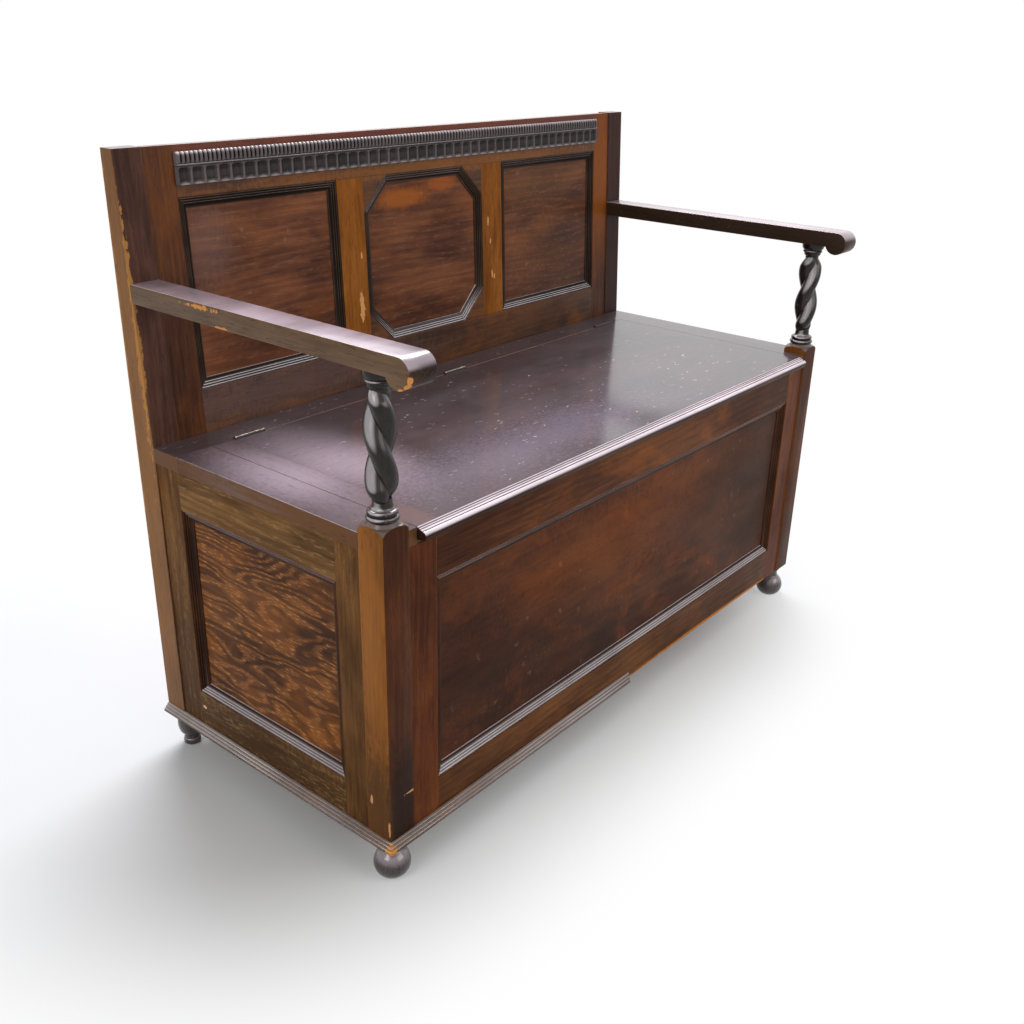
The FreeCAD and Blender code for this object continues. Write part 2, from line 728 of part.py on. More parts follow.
def end_base_moulding(side, sign, low_y):
    """One end's moulding; it meets the front one in a mitre on the left corner."""
    body = new_body(f"{side}_base_moulding")
    section = new_sketch(body, "XZ_Plane", -low_y)
    draw(section, [
        (size(sign) * (corner_x + out), S.foot_height + up) for out, up in base_profile
    ])
    pad(body, section, rear - low_y, reverse=True)
    return body


left_base = end_base_moulding("left", -1, frame_front - reach)
mitre_sketch = new_sketch(left_base, "XY_Plane", S.foot_height)
draw(mitre_sketch, [
    (-corner_x, frame_front), (-corner_x - reach, frame_front - reach),
    (-corner_x, frame_front - reach),
])
pocket(left_base, mitre_sketch, S.base_moulding_height, reverse=True)
end_base_moulding("right", 1, frame_front + S.base_moulding_lost)

front_base = new_body("front_base_moulding")
front_section = new_sketch(front_base, "YZ_Plane", -corner_x - reach)
draw(front_section, [(frame_front - out, S.foot_height + up) for out, up in base_profile])
pad(front_base, front_section, S.base_moulding_left + S.base_moulding_reach)
corner_cut = new_sketch(front_base, "XY_Plane", S.foot_height)
break_x = -half_width + S.base_moulding_left
draw(corner_cut, [
    (-corner_x, frame_front), (-corner_x - reach, frame_front),
    (-corner_x - reach, frame_front - reach),
])
pocket(front_base, corner_cut, S.base_moulding_height, reverse=True)
break_cut = new_sketch(front_base, "XY_Plane", S.foot_height)
draw(break_cut, [
    (break_x, frame_front), (break_x, frame_front - reach),
    (break_x - S.base_moulding_break, frame_front - reach),
])
pocket(front_base, break_cut, S.base_moulding_height, reverse=True)

# Front posts: square to seat level, then turned and twisted, all one timber.
corner_top = S.seat_height + S.pummel_rise
crown = corner_top + S.pummel_crown
ring_top = crown + S.ring_height
upper_ring_top = ring_top + S.upper_ring_height
dome_top = upper_ring_top + S.dome_height
twist_low = dome_top + S.neck_height
collar_low = arm_under - S.collar_height
bead_low = collar_low - S.bead_height
twist_high = bead_low - S.top_neck_height
twist_length = twist_high - twist_low
post_half = S.post_square / 2
tenon_half = S.post_tenon_square / 2
TWIST_SECTIONS = 16
STRAND_SIDES = 7


def strand_ring(share, hand):
    """Corners of the two strands' outline, at one share of the twist's length.

    Near both ends the strands draw in to one another and to the neck's radius.
    """
    from_end = min(share, 1 - share) * twist_length.number
    grown = min(from_end / S.twist_runout.number, 1)
    neck = S.neck_radius.number if share < 0.5 else S.top_neck_radius.number
    radius = neck * (1 - grown) + S.strand_radius.number * grown
    offset = S.strand_offset.number * max(grown, 0.1)
    spread = math.acos(-offset / radius)
    lay = hand * 2 * math.pi * S.twist_turns.number * share + math.pi / 4
    level = twist_low.number + twist_length.number * share
    corners = []
    for strand in (0, math.pi):
        for step in range(STRAND_SIDES):
            turn = -spread + 2 * spread * step / STRAND_SIDES
            across = offset + radius * math.cos(turn)
            corner = FreeCAD.Vector(across, radius * math.sin(turn), level)
            laid = FreeCAD.Rotation(FreeCAD.Vector(0, 0, 1), math.degrees(lay + strand))
            corners.append(laid.multVec(corner))
    return corners


def flat_face(corners):
    return Part.Face(Part.makePolygon(corners + corners[:1]))


def twisted_strands(hand):
    """The double twist: flat facets between rings, each pair split along the lay."""
    rings = [strand_ring(index / TWIST_SECTIONS, hand) for index in range(TWIST_SECTIONS + 1)]
    facets = [flat_face(rings[0]), flat_face(rings[-1])]
    for lower, upper in zip(rings, rings[1:]):
        for index in range(len(lower)):
            first, last = index, (index + 1) % len(lower)
            if hand > 0:
                first, last = last, first
            facets.append(flat_face([lower[first], lower[last], upper[last]]))
            facets.append(flat_face([lower[first], upper[last], upper[first]]))
    shell = Part.makeShell(facets)
    shell.sewShape()
    return Part.makeSolid(shell)


def front_post(side, sign, hand):
    post = document.addObject("PartDesign::Body", f"{side}_post_blank")
    upright_block(post, -post_half, post_half, -post_half, post_half, S.foot_height, crown)

    # Lathe shoulder: the square's corners are turned down, its faces end in arches.
    shoulder = new_sketch(post, "XZ_Plane")
    corner_radius = root(size(2)) * post_half
    draw(shoulder, [
        (post_half - 1, crown + 0.5), (corner_radius, corner_top),
        (corner_radius + 1, corner_top), (corner_radius + 1, crown + 0.5),
    ])
    turned(post, "PartDesign::Groove", shoulder)

    # Turned rings, necks, collar and the round tenon that enters the arm.
    turning = new_sketch(post, "XZ_Plane")
    core = S.strand_radius / 2
    draw(turning, [
        (ZERO, crown), (S.ring_radius - 2, crown),
        (S.ring_radius, crown + S.ring_height * 0.3),
        (S.ring_radius, crown + S.ring_height * 0.7), (S.ring_radius - 3, ring_top),
        (S.upper_ring_radius, ring_top + S.upper_ring_height * 0.5),
        (S.upper_ring_radius - 3, upper_ring_top),
        (S.upper_ring_radius - 3.5, upper_ring_top + S.dome_height * 0.5),
        (S.neck_radius, dome_top), (S.neck_radius, twist_low),
        (core, twist_low), (core, twist_high),
        (S.top_neck_radius, twist_high), (S.top_neck_radius, bead_low),
        (S.bead_radius, bead_low + S.bead_height / 2), (S.bead_radius - 1.5, collar_low),
        (S.bead_radius, collar_low + (S.collar_height - S.collar_edge) * 0.6),
        (S.collar_radius, arm_under - S.collar_edge), (S.collar_radius, arm_under),
        (ZERO, arm_under),
    ])
    turned(post, "PartDesign::Revolution", turning)
    upright_block(post, -tenon_half, tenon_half, -tenon_half, tenon_half,
                  arm_under, arm_under + S.post_tenon_length)

    # A rebate lets the base moulding run past the foot of the post.
    cut_block(post, -post_half, post_half, -post_half, -post_half + S.post_proud,
              S.foot_height, moulding_top)
    outer = post_half * sign
    inner = outer - S.post_proud * sign
    low_x, high_x = (outer, inner) if sign < 0 else (inner, outer)
    cut_block(post, low_x, high_x, -post_half, post_half, S.foot_height, moulding_top)

    strands = document.addObject("Part::Feature", f"{side}_post_strands")
    strands.Shape = twisted_strands(hand)
    whole = document.addObject("Part::Fuse", f"{side}_front_post")
    whole.Label = f"{side}_front_post"
    whole.Base = post
    whole.Tool = strands
    place(whole, x=post_centre_x * sign, y=post_centre_y)
    sub_parts[whole.Label] = whole


front_post("left", -1, -1)
front_post("right", 1, 1)

# Arms: a flat bar that ends in a round scroll, butted to the raked rear post.
scroll_y = front - S.arm_overhang + S.scroll_radius
scroll_z = S.arm_height - S.scroll_radius
under_drop = scroll_z - arm_under
notch_y = scroll_y + root(S.scroll_radius * S.scroll_radius - under_drop * under_drop)
arm_rear_low = rear_post_front + rake * (arm_under - S.seat_height)
arm_rear_high = rear_post_front + rake * (S.arm_height - S.seat_height)
for side, low_x in (("left", -half_width), ("right", between_posts)):
    arm = new_body(f"{side}_arm")
    profile = new_sketch(arm, "YZ_Plane", low_x)
    draw(profile, [
        (arm_rear_low, arm_under), (arm_rear_high, S.arm_height),
        (scroll_y, S.arm_height, S.scroll_radius, 1),
        (scroll_y - S.scroll_radius, scroll_z, S.scroll_radius, 1),
        (scroll_y, scroll_z - S.scroll_radius, S.scroll_radius, 1),
        (notch_y, arm_under),
    ])
    pad(arm, profile, S.post_square)
    mortise = tenon_half + S.fit_clearance / 2
    centre_x = low_x + post_half
    cut_block(arm, centre_x - mortise, centre_x + mortise,
              post_centre_y - mortise, post_centre_y + mortise,
              arm_under, arm_under + S.post_tenon_length + S.fit_clearance)

# Fixed boards of the seat: a strip over each end, notched round the front post, and
# a board behind the hinges.
hinge_line = rear_post_front - S.seat_rear_strip
lid_left = -half_width + S.side_strip + S.lid_gap
lid_right = half_width - S.side_strip - S.lid_gap
strip_front = front + S.post_proud
for side, sign in (("left", -1), ("right", 1)):
    strip = new_body(f"seat_{side}_strip")
    outline = new_sketch(strip, "XY_Plane", seat_under)
    edge = half_width - S.side_strip
    draw(outline, [
        (half_width * sign, front + S.post_square), (half_width * sign, hinge_line),
        (edge * sign, hinge_line), (edge * sign, strip_front),
        (between_posts * sign, strip_front), (between_posts * sign, front + S.post_square),
    ])
    pad(strip, outline, S.seat_thickness)
rear_strip = new_body("seat_rear_strip")
upright_block(rear_strip, -half_width, half_width, hinge_line, rear_post_front,
              seat_under, S.seat_height)

# Lid: a board clamped at both ends and nosed along the front.
lid_rear = hinge_line - S.lid_gap
lid_low = seat_under
tongue_low = lid_low + (S.seat_thickness - S.clamp_tongue_thickness) / 2
tongue_high = tongue_low + S.clamp_tongue_thickness
board_front_y = front + S.nosing_back
clamp_left = lid_left + S.clamp_width
clamp_right = lid_right - S.clamp_width
lid_board = new_body("lid_board")
upright_block(lid_board, clamp_left, clamp_right, board_front_y, lid_rear,
              lid_low, S.seat_height)
tongue_reach = S.clamp_tongue - S.fit_clearance
upright_block(lid_board, clamp_left - tongue_reach, clamp_right + tongue_reach,
              board_front_y, lid_rear, tongue_low, tongue_high - S.fit_clearance)
for side, inner, outer, step in (
    ("left", clamp_left, lid_left, -1), ("right", clamp_right, lid_right, 1)
):
    clamp = new_body(f"lid_{side}_clamp")
    section = new_sketch(clamp, "XZ_Plane", -board_front_y)
    depth = S.clamp_tongue * step
    draw(section, [
        (inner, lid_low), (outer, lid_low), (outer, S.seat_height), (inner, S.seat_height),
        (inner, tongue_high), (inner + depth, tongue_high),
        (inner + depth, tongue_low), (inner, tongue_low),
    ])
    pad(clamp, section, lid_rear - board_front_y, reverse=True)

nosing = new_body("lid_nosing")
nosing_section = new_sketch(nosing, "YZ_Plane", lid_left)
nose_front = front - S.nosing_reach
nose_low = S.seat_height - S.nosing_height
draw(nosing_section, [
    (board_front_y, nose_low), (board_front_y, S.seat_height),
    (front, S.seat_height), (front - 0.6, S.seat_height - 1.4),
    (front - 1.6, S.seat_height - 1.4, S.nosing_reach * 0.7, -1),
    (nose_front + S.nosing_bead, nose_low + S.nosing_bead * 2 + 0.8),
    (nose_front + S.nosing_bead, nose_low + S.nosing_bead * 2, S.nosing_bead, 1),
    (nose_front, nose_low + S.nosing_bead, S.nosing_bead, 1),
    (nose_front + S.nosing_bead, nose_low),
])
pad(nosing, nosing_section, lid_right - lid_left)

# Butt hinges, let into the facing edges of the lid and the rear board, with their
# knuckles showing in the joint.
pin_y = (hinge_line + lid_rear) / 2
pin_z = S.seat_height + S.hinge_rise
hinge_centres = (-half_width + S.hinge_inset, ZERO, half_width - S.hinge_inset)
KNUCKLES = 3
knuckle_pitch = S.hinge_length / KNUCKLES
leaf_high = pin_z - S.knuckle_radius / 2
leaf_low = leaf_high - S.leaf_height


def hinge_leaf(centre, on_lid):
    """A leaf with its knuckles. The pin is riveted into the fixed leaf's two."""
    start = centre.number - S.hinge_length.number / 2
    thickness = S.leaf_thickness.number
    low_y = lid_rear.number - thickness if on_lid else hinge_line.number
    gap = S.knuckle_gap.number
    across = FreeCAD.Vector(1, 0, 0)
    plate_height = S.leaf_height.number - S.knuckle_radius.number * 1.5 - gap
    solid = Part.makeBox(
        S.hinge_length.number, thickness, plate_height,
        FreeCAD.Vector(start, low_y, leaf_low.number),
    )
    for index in range(1 if on_lid else 0, KNUCKLES, 2):
        begin = start + knuckle_pitch.number * index + gap / 2
        length = knuckle_pitch.number - gap
        end_centre = FreeCAD.Vector(begin, pin_y.number, pin_z.number)
        tab_low = FreeCAD.Vector(begin, low_y, leaf_low.number)
        tab = Part.makeBox(length, thickness, pin_z.number - leaf_low.number, tab_low)
        knuckle = Part.makeCylinder(S.knuckle_radius.number, length, end_centre, across)
        solid = solid.fuse(tab).fuse(knuckle)
    axis_start = FreeCAD.Vector(start + gap, pin_y.number, pin_z.number)
    inside = S.hinge_length.number - gap * 2
    if on_lid:
        bore = S.pin_radius.number + S.pin_clearance.number
        solid = solid.cut(Part.makeCylinder(bore, inside, axis_start, across))
    else:
        solid = solid.fuse(Part.makeCylinder(S.pin_radius.number, inside, axis_start, across))
    return solid.removeSplitter()


for label, on_lid in (("hinge_fixed_leaves", False), ("hinge_lid_leaves", True)):
    group = document.addObject("Part::Feature", label)
    group.Label = label
    group.Shape = Part.makeCompound([hinge_leaf(centre, on_lid) for centre in hinge_centres])
    sub_parts[label] = group

# The timber is cut away for the leaves and the knuckles.


def hinge_recess(body, edge, step):
    """Seats for the three leaves in one edge, and rebates for their knuckles."""
    half_length = S.hinge_length / 2 + S.fit_clearance / 2
    clear = S.knuckle_radius + S.knuckle_relief
    for centre in hinge_centres:
        for deep, low_z in (
            (edge + S.leaf_thickness * step, leaf_low - S.fit_clearance),
            (pin_y + clear * step, pin_z - clear),
        ):
            low_y, high_y = (edge, deep) if step > 0 else (deep, edge)
            cut_block(body, centre - half_length, centre + half_length, low_y, high_y,
                      low_z, S.seat_height + 1)


hinge_recess(rear_strip, hinge_line, 1)
for label in ("lid_board", "lid_left_clamp", "lid_right_clamp"):
    hinge_recess(sub_parts[label], lid_rear, -1)

# Feet: ball feet in front, smaller bulbs over a ringed pad behind.


def foot(label, x, y, profile):
    body = document.addObject("PartDesign::Body", label)
    place(body, x=x, y=y)
    sketch = new_sketch(body, "XZ_Plane")
    draw(sketch, profile + [(S.foot_neck_radius, S.foot_height), (ZERO, S.foot_height)])
    turned(body, "PartDesign::Revolution", sketch)
    return body


def pair_of_feet(label, y, profile):
    """A left and a right foot off the same lathe, kept as one sub-part."""
    pair = document.addObject("Part::Compound", label)
    pair.Label = label
    pair.Links = [
        foot(f"{label}_left", -post_centre_x, y, profile),
        foot(f"{label}_right", post_centre_x, y, profile),
    ]
    sub_parts[label] = pair


def bulb_corners(centre, radius, low, high, bands):
    """Round side of a bulb between two levels, turned in narrow bands."""
    corners = []
    start = math.asin((low - centre).number / radius.number)
    end = math.asin((high - centre).number / radius.number)
    for step in range(bands + 1):
        turn = start + (end - start) * step / bands
        corners.append((radius * math.cos(turn), centre + radius * math.sin(turn)))
    return corners


ball_centre = root(S.ball_radius * S.ball_radius - S.ball_flat * S.ball_flat)
ball_meets_neck = ball_centre + root(
    S.ball_radius * S.ball_radius - S.foot_neck_radius * S.foot_neck_radius
)
ball_profile = [(ZERO, ZERO)]
ball_profile += bulb_corners(ball_centre, S.ball_radius, ZERO, ball_meets_neck, 6)
neck_low = S.foot_height - S.foot_collar
bulb_centre = (S.pad_height + neck_low) / 2
pad_profile = [(ZERO, ZERO), (S.pad_radius, ZERO), (S.pad_radius, S.pad_height * 0.7)]
pad_profile += bulb_corners(bulb_centre, S.bulb_radius, S.pad_height + 2, neck_low - 2, 4)
pad_profile += [(S.foot_neck_radius, neck_low)]
pair_of_feet("front_feet", post_centre_y, ball_profile)
pair_of_feet("rear_feet", rear_centre_y, pad_profile)

document.recompute()

# Every object has to stand before anything is written.
faults = []
for item in document.Objects:
    if "Invalid" in item.State or "Error" in item.State:
        owner = item.getParentGeoFeatureGroup()
        faults.append(f"{owner.Label if owner else 'document'}: {item.Name}")
for label, item in sub_parts.items():
    shape = item.Shape
    if shape.isNull() or not shape.isValid():
        faults.append(f"{label} has no valid shape")
if faults:
    raise RuntimeError("; ".join(faults))

os.makedirs("parts", exist_ok=True)
for label, item in sub_parts.items():
    item.Shape.exportStep(f"parts/{label}.step")
print(len(sub_parts), "sub-parts")
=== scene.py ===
from math import cos, pi, radians, sin

import bpy
from mathutils import Matrix, Vector


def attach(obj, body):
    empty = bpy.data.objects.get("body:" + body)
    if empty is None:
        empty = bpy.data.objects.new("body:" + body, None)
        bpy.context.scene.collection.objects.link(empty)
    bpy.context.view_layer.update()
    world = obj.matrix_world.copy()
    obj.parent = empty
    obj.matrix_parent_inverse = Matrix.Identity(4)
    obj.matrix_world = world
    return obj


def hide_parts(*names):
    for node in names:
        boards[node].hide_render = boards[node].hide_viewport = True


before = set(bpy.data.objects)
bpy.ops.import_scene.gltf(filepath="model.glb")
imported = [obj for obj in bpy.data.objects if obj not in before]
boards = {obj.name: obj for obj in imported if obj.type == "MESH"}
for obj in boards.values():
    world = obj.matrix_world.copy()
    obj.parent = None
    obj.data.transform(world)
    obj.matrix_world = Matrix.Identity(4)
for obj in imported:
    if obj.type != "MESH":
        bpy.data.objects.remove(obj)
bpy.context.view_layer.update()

# --- The studio ---
# A plain pale floor that runs out into white, a wide soft light above and
# behind, a weaker one from the left, and the camera at the photograph's corner.
scene = bpy.context.scene
scene.view_settings.view_transform = "Standard"

camera_data = bpy.data.cameras.new("corner_view")
camera_data.sensor_width = 36
camera_data.lens = 38.54
camera = bpy.data.objects.new("corner_view", camera_data)
scene.collection.objects.link(camera)
scene.camera = camera
heading, downward, tipped = radians(50.9339), radians(23.9814), radians(1.3856)
ahead = Vector((sin(heading) * cos(downward), cos(heading) * cos(downward), -sin(downward)))
across = Vector((cos(heading), -sin(heading), 0))
upward = across.cross(ahead)
right_hand = across * cos(tipped) + upward * sin(tipped)
overhead = upward * cos(tipped) - across * sin(tipped)
camera.matrix_world = Matrix.Translation((-1.28394, -1.00108, 1.00588)) @ Matrix(
    (right_hand, overhead, -ahead)).transposed().to_4x4()


def tone(red, green, blue):
    """A colour as it looks on a screen, 0 to 255, as the shader's linear colour."""
    linear = [((v / 255 + 0.055) / 1.055) ** 2.4 if v > 10 else v / 3294 for v in (red, green, blue)]
    return (*linear, 1)


def wire(tree, kind, feeds=None, **settings):
    """Adds a shader node, sets it and feeds its sockets from links or numbers."""
    added = tree.nodes.new("ShaderNode" + kind)
    for setting, value in settings.items():
        setattr(added, setting, value)
    for socket, source in (feeds or {}).items():
        if isinstance(source, bpy.types.NodeSocket):
            tree.links.new(source, added.inputs[socket])
        else:
            added.inputs[socket].default_value = source
    return added


def vector(tree, how, first, second):
    return wire(tree, "VectorMath", {0: first, 1: second}, operation=how)


def times(tree, first, second):
    return wire(tree, "Math", {0: first, 1: second}, operation="MULTIPLY").outputs[0]


def plus(tree, first, second):
    return wire(tree, "Math", {0: first, 1: second}, operation="ADD").outputs[0]


def ramp(tree, value, low, high):
    """0 at low, 1 at high, smooth between."""
    return wire(tree, "MapRange", {0: value, 1: low, 2: high}, interpolation_type="SMOOTHSTEP").outputs[0]


def blank_material(name):
    material = bpy.data.materials.new(name)
    material.use_nodes = True
    material.node_tree.nodes.clear()
    return material, material.node_tree


def seen_directly(tree):
    """1 for rays that show the background: camera, mirror and glass rays."""
    path = wire(tree, "LightPath")
    seen = wire(tree, "Math", {0: path.outputs["Is Camera Ray"], 1: path.outputs["Is Glossy Ray"]},
                operation="MAXIMUM")
    return wire(tree, "Math", {0: seen.outputs[0], 1: path.outputs["Is Transmission Ray"]},
                operation="MAXIMUM").outputs[0]


def choose(*pieces):
    """Selects only these objects and makes the first one active."""
    bpy.ops.object.select_all(action="DESELECT")
    for piece in pieces:
        piece.select_set(True)
    if pieces:
        bpy.context.view_layer.objects.active = pieces[0]


choose()
bpy.ops.mesh.primitive_plane_add(size=60, location=(0, 0, 0))
floor = bpy.context.object
floor.name = "studio_floor"
pale, tree = blank_material("pale floor paint")
spots = wire(tree, "TexCoord").outputs["Object"]
mottle = wire(tree, "TexNoise", {"Vector": spots, "Scale": 3.0, "Detail": 3.0})
paint = wire(tree, "ValToRGB", {"Fac": mottle.outputs[0]})
paint.color_ramp.elements[0].color = tone(228, 232, 235)
paint.color_ramp.elements[1].color = tone(232, 236, 239)
dull = wire(tree, "BsdfPrincipled", {"Base Color": paint.outputs[0], "Roughness": 0.85,
                                     "Specular IOR Level": 0.1})
shifted = vector(tree, "ADD", spots, (0.10, -0.28, 0.0))
sides = wire(tree, "VectorMath", {0: shifted.outputs[0]}, operation="ABSOLUTE")
beyond = vector(tree, "SUBTRACT", sides.outputs[0], (0.3, 0.0, 0.0))
beyond = vector(tree, "MAXIMUM", beyond.outputs[0], (0.0, 0.0, 0.0))
stretch = wire(tree, "VectorMath", {0: beyond.outputs[0]}, operation="LENGTH")
running_out = ramp(tree, stretch.outputs["Value"], 0.38, 0.75)
glow = wire(tree, "Emission", {"Color": (1, 1, 1, 1), "Strength": 1.0})
fade = times(tree, running_out, seen_directly(tree))
ground = wire(tree, "MixShader", {0: fade, 1: dull.outputs[0], 2: glow.outputs[0]})
wire(tree, "OutputMaterial", {"Surface": ground.outputs[0]})
floor.data.materials.append(pale)

world = bpy.data.worlds.new("white studio")
scene.world = world
world.use_nodes = True
tree = world.node_tree
tree.nodes.clear()
fill = wire(tree, "Background", {"Color": (1.0, 0.98, 0.98, 1), "Strength": 0.3})
white = wire(tree, "Background", {"Color": (1, 1, 1, 1), "Strength": 1.0})
either = wire(tree, "MixShader", {0: seen_directly(tree), 1: fill.outputs[0], 2: white.outputs[0]})
wire(tree, "OutputWorld", {"Surface": either.outputs[0]})


def soft_light(name, place, aim, width, height, power, colour):
    lamp_data = bpy.data.lights.new(name, "AREA")
    lamp_data.shape = "RECTANGLE"
    lamp_data.size, lamp_data.size_y = width, height
    lamp_data.energy = power
    lamp_data.color = colour
    lamp = bpy.data.objects.new(name, lamp_data)
    scene.collection.objects.link(lamp)
    lamp.location = place
    lamp.rotation_euler = (Vector(aim) - Vector(place)).to_track_quat("-Z", "Y").to_euler()


soft_light("overhead_softbox", (0.85, 1.0, 2.4), (-0.1, -0.1, 0.2), 2.0, 1.5, 80, (1.0, 0.97, 1.0))
soft_light("left_window", (-2.6, -0.3, 1.9), (0, 0, 0.45), 1.2, 1.4, 24, (1.0, 0.97, 0.93))
soft_light("front_fill", (0.6, -3.0, 1.8), (0, 0, 0.4), 2.4, 1.6, 32, (1.0, 0.97, 0.93))

# --- Feet ---
# Four turned oak feet: flattened balls on short necks in front, and pear-shaped
# ones at the back. They are stained near black and dowelled up under the posts.


def new_group(name, inputs, outputs):
    """A node group with named sockets: a number gives an input's usual value, None a place."""
    group = bpy.data.node_groups.new(name, "ShaderNodeTree")
    for label, usual in inputs.items():
        kind = "NodeSocketVector" if usual is None else "NodeSocketFloat"
        socket = group.interface.new_socket(label, in_out="INPUT", socket_type=kind)
        if usual is not None:
            socket.default_value = usual
    for label in outputs:
        kind = "NodeSocketVector" if label == "Normal" else "NodeSocketFloat"
        group.interface.new_socket(label, in_out="OUTPUT", socket_type=kind)
    return group, group.nodes.new("NodeGroupInput").outputs, group.nodes.new("NodeGroupOutput").inputs


def stretched_noise(tree, place, stretch, detail, rough=0.5):
    spread = vector(tree, "MULTIPLY", place, stretch)
    return wire(tree, "TexNoise", {"Vector": spread.outputs[0], "Scale": 1.0, "Detail": detail,
                                   "Roughness": rough})


# Oak figure: what shows on a board whose grain runs along local X.
oak_figure, given, result = new_group(
    "oak figure", {"Grain": None, "Ring width": 0.012, "Waver": 0.02},
    ("Rings", "Streaks", "Pores", "Cloud", "Blotch"))
drift = stretched_noise(oak_figure, given["Grain"], (3.0, 11.0, 11.0), 3.0)
drift = vector(oak_figure, "SUBTRACT", drift.outputs[1], (0.5, 0.5, 0.5))
drift = wire(oak_figure, "VectorMath", {0: drift.outputs[0], "Scale": given["Waver"]}, operation="SCALE")
bent = vector(oak_figure, "ADD", given["Grain"], drift.outputs[0])
bent = vector(oak_figure, "MULTIPLY", bent.outputs[0], (0.0, 1.0, 1.0))
reach = wire(oak_figure, "VectorMath", {0: bent.outputs[0]}, operation="LENGTH")
turns = wire(oak_figure, "Math", {0: reach.outputs["Value"], 1: given["Ring width"]}, operation="DIVIDE")
uneven = stretched_noise(oak_figure, given["Grain"], (3.0, 30.0, 30.0), 2.0)
phase = plus(oak_figure, turns.outputs[0], times(oak_figure, uneven.outputs[0], 2.2))
swing = wire(oak_figure, "Math", {0: times(oak_figure, phase, 2 * pi)}, operation="SINE")
swing = wire(oak_figure, "MapRange", {0: swing.outputs[0], 1: -1.0, 2: 1.0})
ringed = wire(oak_figure, "Math", {0: swing.outputs[0], 1: 1.6}, operation="POWER")
oak_figure.links.new(ringed.outputs[0], result["Rings"])
fibres = stretched_noise(oak_figure, given["Grain"], (13.0, 260.0, 260.0), 4.0, 0.65)
oak_figure.links.new(ramp(oak_figure, fibres.outputs[0], 0.26, 0.74), result["Streaks"])
dashes = stretched_noise(oak_figure, given["Grain"], (75.0, 560.0, 560.0), 2.0)
early = ramp(oak_figure, swing.outputs[0], 0.15, 0.75)
oak_figure.links.new(times(oak_figure, ramp(oak_figure, dashes.outputs[0], 0.54, 0.66), early), result["Pores"])
broad = stretched_noise(oak_figure, given["Grain"], (5.0, 14.0, 14.0), 5.0, 0.6)
oak_figure.links.new(ramp(oak_figure, broad.outputs[0], 0.3, 0.7), result["Cloud"])
stained = stretched_noise(oak_figure, given["Grain"], (9.0, 14.0, 14.0), 4.0, 0.6)
stained.inputs["Distortion"].default_value = 0.6
oak_figure.links.new(ramp(oak_figure, stained.outputs[0], 0.5, 0.72), result["Blotch"])

# Worn edges: where a rounded normal leaves the true one, broken into patches.
edge_wear, given, result = new_group(
    "worn edges", {"Place": None, "Width": 0.003, "Bare": 0.5}, ("Bare wood", "Rubbed", "Normal"))
rounded = wire(edge_wear, "Bevel", {"Radius": given["Width"]}, samples=4)
faced = wire(edge_wear, "NewGeometry")
facing = vector(edge_wear, "DOT_PRODUCT", rounded.outputs[0], faced.outputs["True Normal"])
turned_away = wire(edge_wear, "MapRange", {0: facing.outputs["Value"], 1: 0.99, 2: 0.82})
patches = stretched_noise(edge_wear, given["Place"], (17.0, 17.0, 17.0), 5.0, 0.72)
needed = wire(edge_wear, "Math", {0: 1.0, 1: given["Bare"]}, operation="SUBTRACT")
kept = wire(edge_wear, "Math", {0: patches.outputs[0], 1: needed.outputs[0]}, operation="SUBTRACT")
edge_wear.links.new(times(edge_wear, turned_away.outputs[0], ramp(edge_wear, kept.outputs[0], 0.0, 0.06)),
                    result["Bare wood"])
edge_wear.links.new(times(edge_wear, turned_away.outputs[0], ramp(edge_wear, patches.outputs[0], 0.35, 0.6)),
                    result["Rubbed"])
edge_wear.links.new(rounded.outputs[0], result["Normal"])

# Use and bloom: short pale scratches, specks and a cloudy bloom; the bloom also breaks up the painted sheen and the
# painted glint.
use_and_dust, given, result = new_group(
    "use and dust", {"Place": None}, ("Scratches", "Specks", "Bloom"))
nudged = wire(use_and_dust, "TexNoise", {"Vector": given["Place"], "Scale": 110.0, "Detail": 2.0})
nudged = wire(use_and_dust, "VectorMath", {0: nudged.outputs[1], "Scale": 0.014}, operation="SCALE")
nudged = vector(use_and_dust, "ADD", given["Place"], nudged.outputs[0])
for label, turn, density, short, share in (("Scratches", 0.5, 34.0, 5.0, 0.72), ("Specks", 2.1, 80.0, 1.6, 0.84)):
    skewed = wire(use_and_dust, "Mapping", {0: nudged.outputs[0], "Rotation": (0.4, 0.3, turn),
                                            "Scale": (1.0, short, 1.0)})
    dots = wire(use_and_dust, "TexVoronoi", {"Vector": skewed.outputs[0], "Scale": density})
    small = wire(use_and_dust, "MapRange", {0: dots.outputs["Distance"], 1: 0.10, 2: 0.2, 3: 1.0, 4: 0.0})
    chosen = wire(use_and_dust, "SeparateColor", {0: dots.outputs["Color"]})
    use_and_dust.links.new(times(use_and_dust, small.outputs[0],
                                 ramp(use_and_dust, chosen.outputs[0], share, share + 0.02)), result[label])
haze = stretched_noise(use_and_dust, given["Place"], (7.0, 12.0, 12.0), 6.0, 0.6)
use_and_dust.links.new(ramp(use_and_dust, haze.outputs[0], 0.36, 0.68), result["Bloom"])

